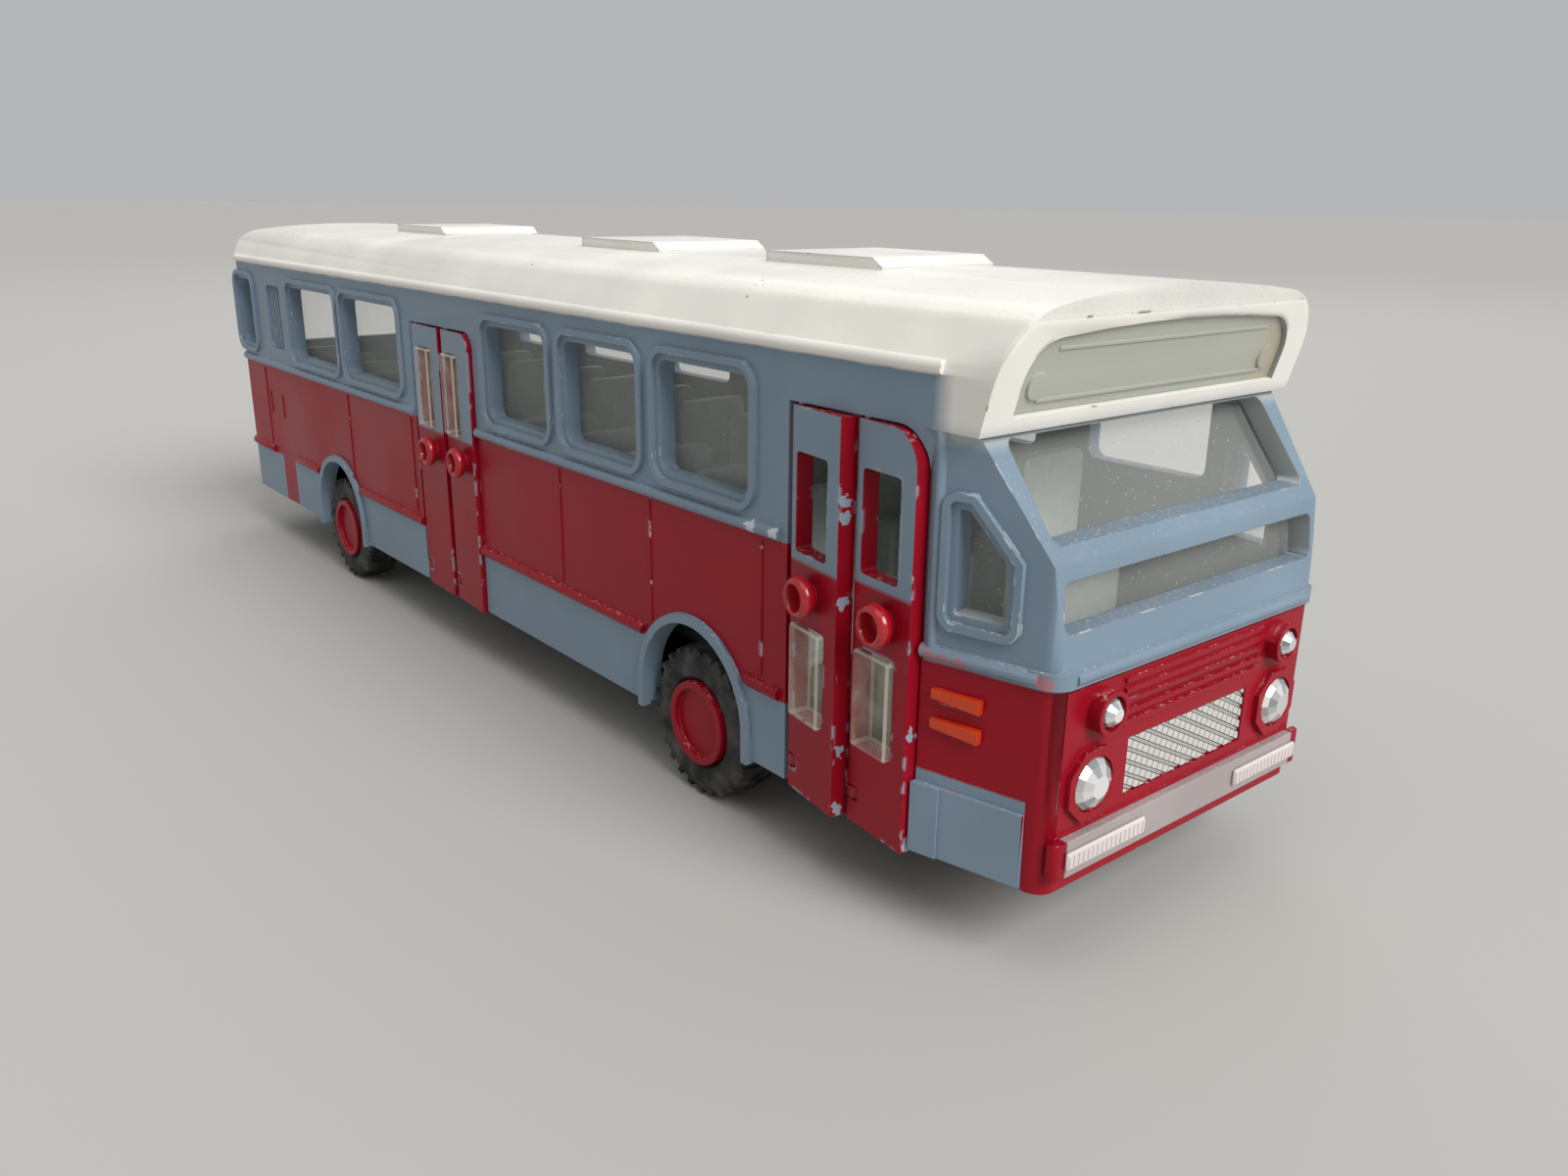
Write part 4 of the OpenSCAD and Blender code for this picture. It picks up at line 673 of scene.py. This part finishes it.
def spin_outline(mesh, points, centre, axis, steps, closed=True):
    """Spin an outline about an axis: a closed one into a ring, an open one into a round."""
    verts = [mesh.verts.new(p) for p in points]
    pairs = zip(verts, verts[1:] + verts[:1] if closed else verts[1:])
    edges = [mesh.edges.new(pair) for pair in pairs]
    bmesh.ops.spin(
        mesh, geom=verts + edges, cent=centre, axis=axis, dvec=(0, 0, 0), angle=math.tau, steps=steps,
        use_merge=True)
    bmesh.ops.remove_doubles(mesh, verts=mesh.verts, dist=WELD)
    bmesh.ops.recalc_face_normals(mesh, faces=mesh.faces)


# Operators


class BUS_OT_body(bpy.types.Operator):
    """Paint the body casting, with its orange side indicators"""

    bl_idname = "bus.body"
    bl_label = "Body casting"

    def execute(self, context):
        sizes = context.scene.bus_sizes
        self.casting()
        mesh = bmesh.new()
        for side in (-1, 1):
            for row in (0, 1):
                self.bar(mesh, sizes, side, sizes.indicator_z - row * sizes.indicator_pitch)
        bmesh.ops.recalc_face_normals(mesh, faces=mesh.faces)
        soften(mesh, sizes.indicator_round)
        piece("side_indicators", mesh, orange_enamel)
        return {"FINISHED"}

    def casting(self):
        """The casting, with the faces that look inwards marked for thin paint."""
        mesh = node_copy("body_shell")
        low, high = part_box("body_shell")
        middle = (low + high) / 2
        wall = bpy.context.scene.bus_sizes.casting_wall
        mark = mesh.faces.layers.float.new("inside")
        for face in mesh.faces:
            spot = face.calc_center_median() - middle
            within = all(abs(spot[i]) < (high[i] - low[i]) / 2 - wall for i in range(3))
            inwards = any(
                face.normal[i] * spot[i] < 0 and abs(face.normal[i]) > 0.35 for i in range(3))
            face[mark] = float(within and inwards)
        self.even_roof(mesh)
        piece("body_shell_look", mesh, livery_enamel, stands_for=("body_shell",))

    def even_roof(self, mesh):
        """Turn the long triangles of the roof's shoulders to lie along it, so that they shade evenly."""
        sizes = bpy.context.scene.bus_sizes
        long = [
            f for f in mesh.faces
            if min(v.co.z for v in f.verts) > sizes.shoulder_z and 0.1 < f.normal.z < 0.99
            and max(v.co.x for v in f.verts) - min(v.co.x for v in f.verts) > sizes.shoulder_l]
        triangles = bmesh.ops.triangulate(mesh, faces=long)["faces"]
        inner = {e for f in triangles for e in f.edges if all(g in triangles for g in e.link_faces)}
        bmesh.ops.beautify_fill(mesh, faces=triangles, edges=list(inner), method="ANGLE")

    def bar(self, mesh, sizes, side, z):
        """One bar on a cheek, which swells towards its front end."""
        verts = block(
            mesh, (sizes.indicator_start, -sizes.indicator_sink, z),
            (sizes.indicator_start + sizes.indicator_l, sizes.indicator_proud, z + sizes.indicator_h))
        front = sizes.indicator_start + sizes.indicator_l / 2
        rear_face = [v for v in verts if v.co.x < front and v.co.y > 0]
        bmesh.ops.translate(mesh, verts=rear_face, vec=(0, -sizes.indicator_fall, 0))
        rear_low = [v for v in verts if v.co.x < front and v.co.z < z + sizes.indicator_h / 2]
        bmesh.ops.translate(mesh, verts=rear_low, vec=(0, 0, sizes.indicator_thin))
        cheek = Matrix.Translation((sizes.taper_x, sizes.taper_y, 0)) @ Matrix.Rotation(
            -sizes.taper_angle, 4, "Z")
        bmesh.ops.transform(mesh, matrix=Matrix.Diagonal((1, side, 1, 1)) @ cheek, verts=verts)


class BUS_OT_front(bpy.types.Operator):
    """Make the front panel, its lamps, the grille, the bumpers and the destination panel"""

    bl_idname = "bus.front"
    bl_label = "Front and bumpers"

    def execute(self, context):
        sizes = context.scene.bus_sizes
        dress("front_panel", red_enamel)
        dress("front_bumper", aluminium_paint, sizes.bumper_round, 3)
        dress("rear_bumper", aluminium_paint, sizes.bumper_round, 3)
        dress("destination_panel", sign_polystyrene, sizes.sign_round)
        self.sign_rims(sizes)
        dress("rear_lamps", rear_lamp_plastic, sizes.lamp_round, 4)
        self.jewels("headlight_lenses")
        self.jewels("upper_lamp_lenses")
        self.grille(sizes)
        self.pads(sizes)
        return {"FINISHED"}

    def sign_rims(self, sizes):
        """Two raised lines that run along the bare destination panel."""
        low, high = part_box("destination_panel")
        run, rise = high.x - low.x - sizes.sign_t, high.z - low.z
        lean = math.atan2(run, rise)
        rim_shares = ((0.14, 0.86), (0.74, 0.8))
        mesh = bmesh.new()
        for share, half_share in rim_shares:
            half = (high.y - low.y) / 2 * half_share
            verts = block(
                mesh, (-sizes.sign_t / 2, -half, -sizes.sign_rim), (sizes.sign_rim, half, sizes.sign_rim))
            spot = Vector((low.x + sizes.sign_t + share * run, 0, low.z + share * rise))
            place = Matrix.Translation(spot) @ Matrix.Rotation(lean, 4, "Y")
            bmesh.ops.transform(mesh, matrix=place, verts=verts)
        soften(mesh, sizes.sign_rim_round)
        piece("destination_panel_rims", mesh, sign_polystyrene)

    def jewels(self, node):
        """Cut stones with a table and two rows of facets, one on each side."""
        low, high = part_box(node)
        r = (high.z - low.z) / 2
        depth = high.x - low.x
        mesh = bmesh.new()
        tone = mesh.faces.layers.float.new("facet")
        for side in (-1, 1):
            centre = Vector((low.x, side * (high.y - r), low.z + r))
            profile = ((0, 0), (0, 1), (0.55, 1), (0.8, 0.78), (1, 0.42), (1, 0))
            points = [centre + Vector((d * depth, 0, share * r)) for d, share in profile]
            spin_outline(mesh, points, centre, (1, 0, 0), JEWEL_SIDES, False)
        bmesh.ops.dissolve_limit(mesh, angle_limit=FLAT_ANGLE, verts=mesh.verts, edges=mesh.edges)
        # Blender's order of the faces changes from run to run, so the facets are taken by their place
        facets = sorted(mesh.faces, key=lambda face: face.calc_center_median().to_tuple(5))
        # Each face takes one of a few tones of painted reflection, from dark to light
        for i, face in enumerate(facets):
            face[tone] = (i * FACET_STEP % FACET_TONES) / (FACET_TONES - 1)
        piece(node + "_look", mesh, foiled_jewel, stands_for=(node,), smooth=False)

    def grille(self, sizes):
        """A plate with slanting rows of short bright blocks, and a low bar between the rows."""
        low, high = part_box("front_grille")
        middle = (low + high) / 2
        plate_x = high.x - sizes.grille_depth
        reach = (high - low).length / 2
        slant = Matrix.Rotation(-sizes.grille_slant, 3, "X")
        block_half = Vector((sizes.grille_block_h, sizes.grille_block_l, sizes.grille_block_w)) / 2
        bar_half = Vector((sizes.grille_bar_h, sizes.grille_block_pitch * 0.98, sizes.grille_bar_w)) / 2
        room = (high - low) / 2 + Vector((0, sizes.grille_block_l, sizes.grille_block_l)) / 2
        mesh = bmesh.new()
        rows = math.ceil(reach / sizes.grille_row_pitch)
        columns = math.ceil(reach / sizes.grille_block_pitch)
        for row in range(-rows, rows + 1):
            for column in range(-columns, columns + 1):
                along = (column + 0.5 * (row % 2)) * sizes.grille_block_pitch
                for half, rise in ((block_half, 0), (bar_half, sizes.grille_row_pitch / 2)):
                    spot = slant @ Vector((0, along, row * sizes.grille_row_pitch + rise))
                    if abs(spot.y) > room.y or abs(spot.z) > room.z:
                        continue
                    verts = block(mesh, -half, half)
                    bmesh.ops.rotate(mesh, verts=verts, matrix=slant)
                    spot += Vector((plate_x + half.x, middle.y, middle.z))
                    bmesh.ops.translate(mesh, verts=verts, vec=spot)
        rim = Vector((0, sizes.grille_rim, sizes.grille_rim))
        self.trim(mesh, low + rim, high - rim)
        block(mesh, low, (plate_x, high.y, high.z))
        piece(
            "front_grille_look", mesh, bright_grille, stands_for=("front_grille",),
            smooth=False)

    def trim(self, mesh, low, high):
        """Cut the blocks off straight along the border of the plate, and close the cuts."""
        for axis in (1, 2):
            for corner, sign in ((low, -1), (high, 1)):
                way = Vector((0, 0, 0))
                way[axis] = sign
                cut = bmesh.ops.bisect_plane(
                    mesh, geom=mesh.verts[:] + mesh.edges[:] + mesh.faces[:], dist=WELD, plane_co=corner,
                    plane_no=way, clear_outer=True)["geom_cut"]
                open_edges = [part for part in cut if isinstance(part, bmesh.types.BMEdge)]
                bmesh.ops.holes_fill(mesh, edges=open_edges, sides=0)
        bmesh.ops.recalc_face_normals(mesh, faces=mesh.faces)

    def pads(self, sizes):
        """Two pads with upright ribs."""
        low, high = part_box("bumper_pads")
        mesh = bmesh.new()
        pads = [sorted((side * sizes.pad_inner, side * high.y)) for side in (-1, 1)]
        count = int((high.y - sizes.pad_inner) / sizes.pad_rib)
        for start, end in pads:
            block(mesh, (low.x, start, low.z), (high.x - sizes.pad_rib_h, end, high.z))
        soften(mesh, sizes.pad_round, 3)
        for start, end in pads:
            for i in range(count):
                y = start + (i + 0.25) * (end - start) / count
                block(
                    mesh, (low.x, y, low.z + sizes.pad_edge),
                    (high.x, y + sizes.pad_rib / 2, high.z - sizes.pad_edge))
        piece("bumper_pads_look", mesh, pad_paint, stands_for=("bumper_pads",))


class BUS_OT_glazing(bpy.types.Operator):
    """Fit the clear glazing"""

    bl_idname = "bus.glazing"
    bl_label = "Glazing"

    def execute(self, context):
        for node in GLAZING:
            dress(node, clear_polystyrene)
        return {"FINISHED"}


class BUS_OT_interior(bpy.types.Operator):
    """Fit the seats, the baseplate and its screws"""

    bl_idname = "bus.interior"
    bl_label = "Seats and baseplate"

    def execute(self, context):
        sizes = context.scene.bus_sizes
        dress("seat_unit", seat_moulding, sizes.seat_round)
        dress("driver_seat", seat_moulding, sizes.seat_round)
        dress("baseplate", baseplate_moulding)
        dress("baseplate_screws", drawn_steel, sizes.screw_round)
        return {"FINISHED"}


class BUS_OT_doors(bpy.types.Operator):
    """Make the four door leaves with their knobs, clear inserts and pins"""

    bl_idname = "bus.doors"
    bl_label = "Doors"

    def execute(self, context):
        for leaf in LEAVES:
            self.leaf(leaf)
            self.knob(leaf)
            self.insert(leaf)
            dress(leaf + "_pins", drawn_steel)
        return {"FINISHED"}

    def turn(self, leaf):
        """Turn of a leaf from its closed place to where it stands at rest."""
        return Matrix.Rotation(math.radians(JOINTS[leaf + "_hinge"]["range_deg"][0]), 3, "Z")

    def knob(self, leaf):
        """A short ring with a round rim and a dished middle, on a stem."""
        node = leaf + "_knob"
        outward = self.turn(leaf) @ Vector((0, -1, 0))
        along = self.turn(leaf) @ Vector((1, 0, 0))
        corners = [v.co for v in frame["nodes"][node].data.vertices]
        face = max(v.co.dot(outward) for v in frame["nodes"][leaf + "_leaf"].data.vertices)
        spans = [[c.dot(way) for c in corners] for way in (along, Vector((0, 0, 1)))]
        sideways, height = [(min(span) + max(span)) / 2 for span in spans]
        r = (max(spans[1]) - min(spans[1])) / 2
        rise = max(c.dot(outward) for c in corners) - face
        centre = along * sideways + Vector((0, 0, height)) + outward * face
        profile = (
            (-0.08, 0), (-0.08, 0.66), (0.16, 0.66), (0.22, 0.84), (0.36, 0.96), (0.52, 1), (0.68, 0.97),
            (0.82, 0.89), (0.9, 0.77), (0.87, 0.67), (0.76, 0.61), (0.4, 0.57), (0.24, 0.5), (0.2, 0.3),
            (0.2, 0),
        )
        mesh = bmesh.new()
        points = [centre + outward * (d * rise) + along * (share * r) for d, share in profile]
        spin_outline(mesh, points, centre, outward, KNOB_STEPS, False)
        piece(node + "_look", mesh, knob_enamel, leaf, (node,))

    def insert(self, leaf):
        """A thick clear block, with its bevelled edges marked because they catch the light."""
        node = leaf + "_insert"
        mesh = node_copy(node)
        soften(mesh, bpy.context.scene.bus_sizes.insert_round, 1)
        square = [self.turn(leaf) @ Vector(way) for way in ((1, 0, 0), (0, 1, 0), (0, 0, 1))]
        mark = mesh.faces.layers.float.new("light_edge")
        for face in mesh.faces:
            face[mark] = float(max(abs(face.normal.dot(way)) for way in square) < INSERT_FACING)
        piece(node + "_look", mesh, milky_polystyrene, leaf, (node,))

    def leaf(self, leaf):
        """A leaf whose flat faces are marked for the blue-grey paint."""
        node = leaf + "_leaf"
        mesh = node_copy(node)
        outward = self.turn(leaf) @ Vector((0, -1, 0))
        mark = mesh.faces.layers.float.new("leaf_face")
        for face in mesh.faces:
            face[mark] = float(face.normal.dot(outward) > LEAF_FACING)
        piece(node + "_look", mesh, door_enamel, leaf, (node,))


class BUS_OT_wheels(bpy.types.Operator):
    """Make the tyres with their lugs, the hubs and the axles"""

    bl_idname = "bus.wheels"
    bl_label = "Wheels"

    def execute(self, context):
        sizes = context.scene.bus_sizes
        for wheel in WHEELS:
            self.tyre(wheel, sizes)
            dress(wheel + "_hub", red_enamel, sizes.hub_round, 3)
        for end in ("front", "rear"):
            dress(end + "_axle", drawn_steel)
        return {"FINISHED"}

    def tyre(self, wheel, sizes):
        """A rounded tyre with two rows of shoulder lugs."""
        node = wheel + "_tyre"
        low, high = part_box(node)
        hub_low, hub_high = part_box(wheel + "_hub")
        end = wheel.split("_")[0]
        centre = wheel_place(end)
        outer_r = (high.z - low.z) / 2 - sizes.lug_h
        inner_r = (hub_high.z - hub_low.z) / 2 + sizes.tyre_gap
        width = high.y - low.y
        middle = (high.y + low.y) / 2
        wall = outer_r - inner_r
        lug_start = 0.06 * width
        lug_end = 0.46 * width
        shares = ((0.36, 0), (0.47, 0.12), (0.5, 0.45), (0.47, 0.75), (0.38, 0.95), (0.22, 1))
        outline = list(shares) + [(-across, up) for across, up in reversed(shares)]
        points = [
            (centre.x, middle + across * width, centre.z + inner_r + up * wall) for across, up in outline]
        mesh = bmesh.new()
        spin_outline(mesh, points, centre, (0, 1, 0), TYRE_STEPS)
        for side in (-1, 1):
            for i in range(TYRE_LUGS):
                verts = block(
                    mesh, (-sizes.lug_w / 2, lug_start, outer_r - sizes.lug_sink),
                    (sizes.lug_w / 2, lug_end, outer_r + sizes.lug_h))
                shoulder = [v for v in verts if v.co.y > (lug_start + lug_end) / 2 and v.co.z > outer_r]
                bmesh.ops.translate(mesh, verts=shoulder, vec=(0, 0, -sizes.lug_fall))
                turn = Matrix.Rotation((i + 0.25 * (side + 1)) * math.tau / TYRE_LUGS, 4, "Y")
                place = Matrix.Translation((centre.x, middle, centre.z)) @ turn
                bmesh.ops.transform(mesh, matrix=place @ Matrix.Diagonal((1, side, 1, 1)), verts=verts)
        bmesh.ops.recalc_face_normals(mesh, faces=mesh.faces)
        piece(node + "_look", mesh, tyre_rubber, end + "_wheelset", (node,))


class BUS_OT_stage(bpy.types.Operator):
    """Set the floor, the light and the camera"""

    bl_idname = "bus.stage"
    bl_label = "Stage"

    def execute(self, context):
        scene = context.scene
        sizes = scene.bus_sizes
        mesh = bmesh.new()
        bmesh.ops.create_circle(mesh, cap_ends=True, segments=96, radius=sizes.floor_r)
        data = bpy.data.meshes.new("floor")
        mesh.to_mesh(data)
        mesh.free()
        data.materials.append(finish(pale_floor))
        floor = bpy.data.objects.new("floor", data)
        scene.collection.objects.link(floor)
        world = bpy.data.worlds.new("studio")
        scene.world = world
        world.use_nodes = True
        sky = world.node_tree.nodes["Background"]
        sky.inputs["Color"].default_value = scene.bus_colours.sky
        sky.inputs["Strength"].default_value = sizes.sky_level
        self.daylight(scene)
        self.lamp(scene, "window_light", place=(0.2, -0.3, 0.9), size=0.6, power=1.2)
        self.lamp(scene, "back_light", place=(-0.5, 0.55, 0.6), size=0.5, power=1.0)
        camera = bpy.data.objects.new("camera", bpy.data.cameras.new("camera"))
        scene.collection.objects.link(camera)
        camera.data.sensor_width = SENSOR_MM
        camera.data.lens = sizes.camera_lens
        camera.data.clip_start = 0.01
        place = Vector(sizes.camera_place)
        view = (Vector(sizes.camera_aim) - place).to_track_quat("-Z", "Y").to_matrix().to_4x4()
        camera.matrix_world = Matrix.Translation(place) @ view @ Matrix.Rotation(sizes.camera_roll, 4, "Z")
        scene.camera = camera
        scene.view_settings.view_transform = "Standard"
        return {"FINISHED"}

    def daylight(self, scene):
        """Soft even light from high in front of the bus."""
        data = bpy.data.lights.new("daylight", "SUN")
        data.angle = scene.bus_sizes.sun_angle
        data.energy = scene.bus_sizes.sun_level
        sun = bpy.data.objects.new("daylight", data)
        scene.collection.objects.link(sun)
        sun.matrix_world = Vector(scene.bus_sizes.sun_way).to_track_quat("-Z", "Y").to_matrix().to_4x4()

    def lamp(self, scene, name, place, size, power):
        """A square soft light that faces the bus."""
        data = bpy.data.lights.new(name, "AREA")
        data.size = size
        data.energy = power
        lamp = bpy.data.objects.new(name, data)
        scene.collection.objects.link(lamp)
        aim = (CAD_BOX[0] + CAD_BOX[1]) / 2 - Vector(place)
        lamp.matrix_world = Matrix.Translation(place) @ aim.to_track_quat("-Z", "Y").to_matrix().to_4x4()


OPERATORS = (
    BUS_OT_body, BUS_OT_front, BUS_OT_glazing, BUS_OT_interior, BUS_OT_doors, BUS_OT_wheels, BUS_OT_stage,
)


class BUS_PT_looks(bpy.types.Panel):
    """Sidebar list of the bus's pieces, colours and sizes"""

    bl_idname = "BUS_PT_looks"
    bl_label = "Toy bus"
    bl_space_type = "VIEW_3D"
    bl_region_type = "UI"
    bl_category = "Toy bus"

    def draw(self, context):
        for operator in OPERATORS:
            self.layout.operator(operator.bl_idname)
        for group in (context.scene.bus_colours, context.scene.bus_sizes):
            for name in group.bl_rna.properties.keys():
                if name not in ("rna_type", "name"):
                    self.layout.prop(group, name)


CLASSES = (BusColours, BusSizes) + OPERATORS + (BUS_PT_looks,)


def register():
    """Add the classes and the scene's settings."""
    for cls in CLASSES:
        bpy.utils.register_class(cls)
    bpy.types.Scene.bus_colours = bpy.props.PointerProperty(type=BusColours)
    bpy.types.Scene.bus_sizes = bpy.props.PointerProperty(type=BusSizes)


def unregister():
    """Take the scene's settings and the classes away."""
    del bpy.types.Scene.bus_sizes
    del bpy.types.Scene.bus_colours
    for cls in reversed(CLASSES):
        bpy.utils.unregister_class(cls)


def main():
    """Build every piece and the stage."""
    register()
    bpy.ops.bus.body()
    bpy.ops.bus.front()
    bpy.ops.bus.glazing()
    bpy.ops.bus.interior()
    bpy.ops.bus.doors()
    bpy.ops.bus.wheels()
    bpy.ops.bus.stage()


if __name__ == "__main__":
    main()
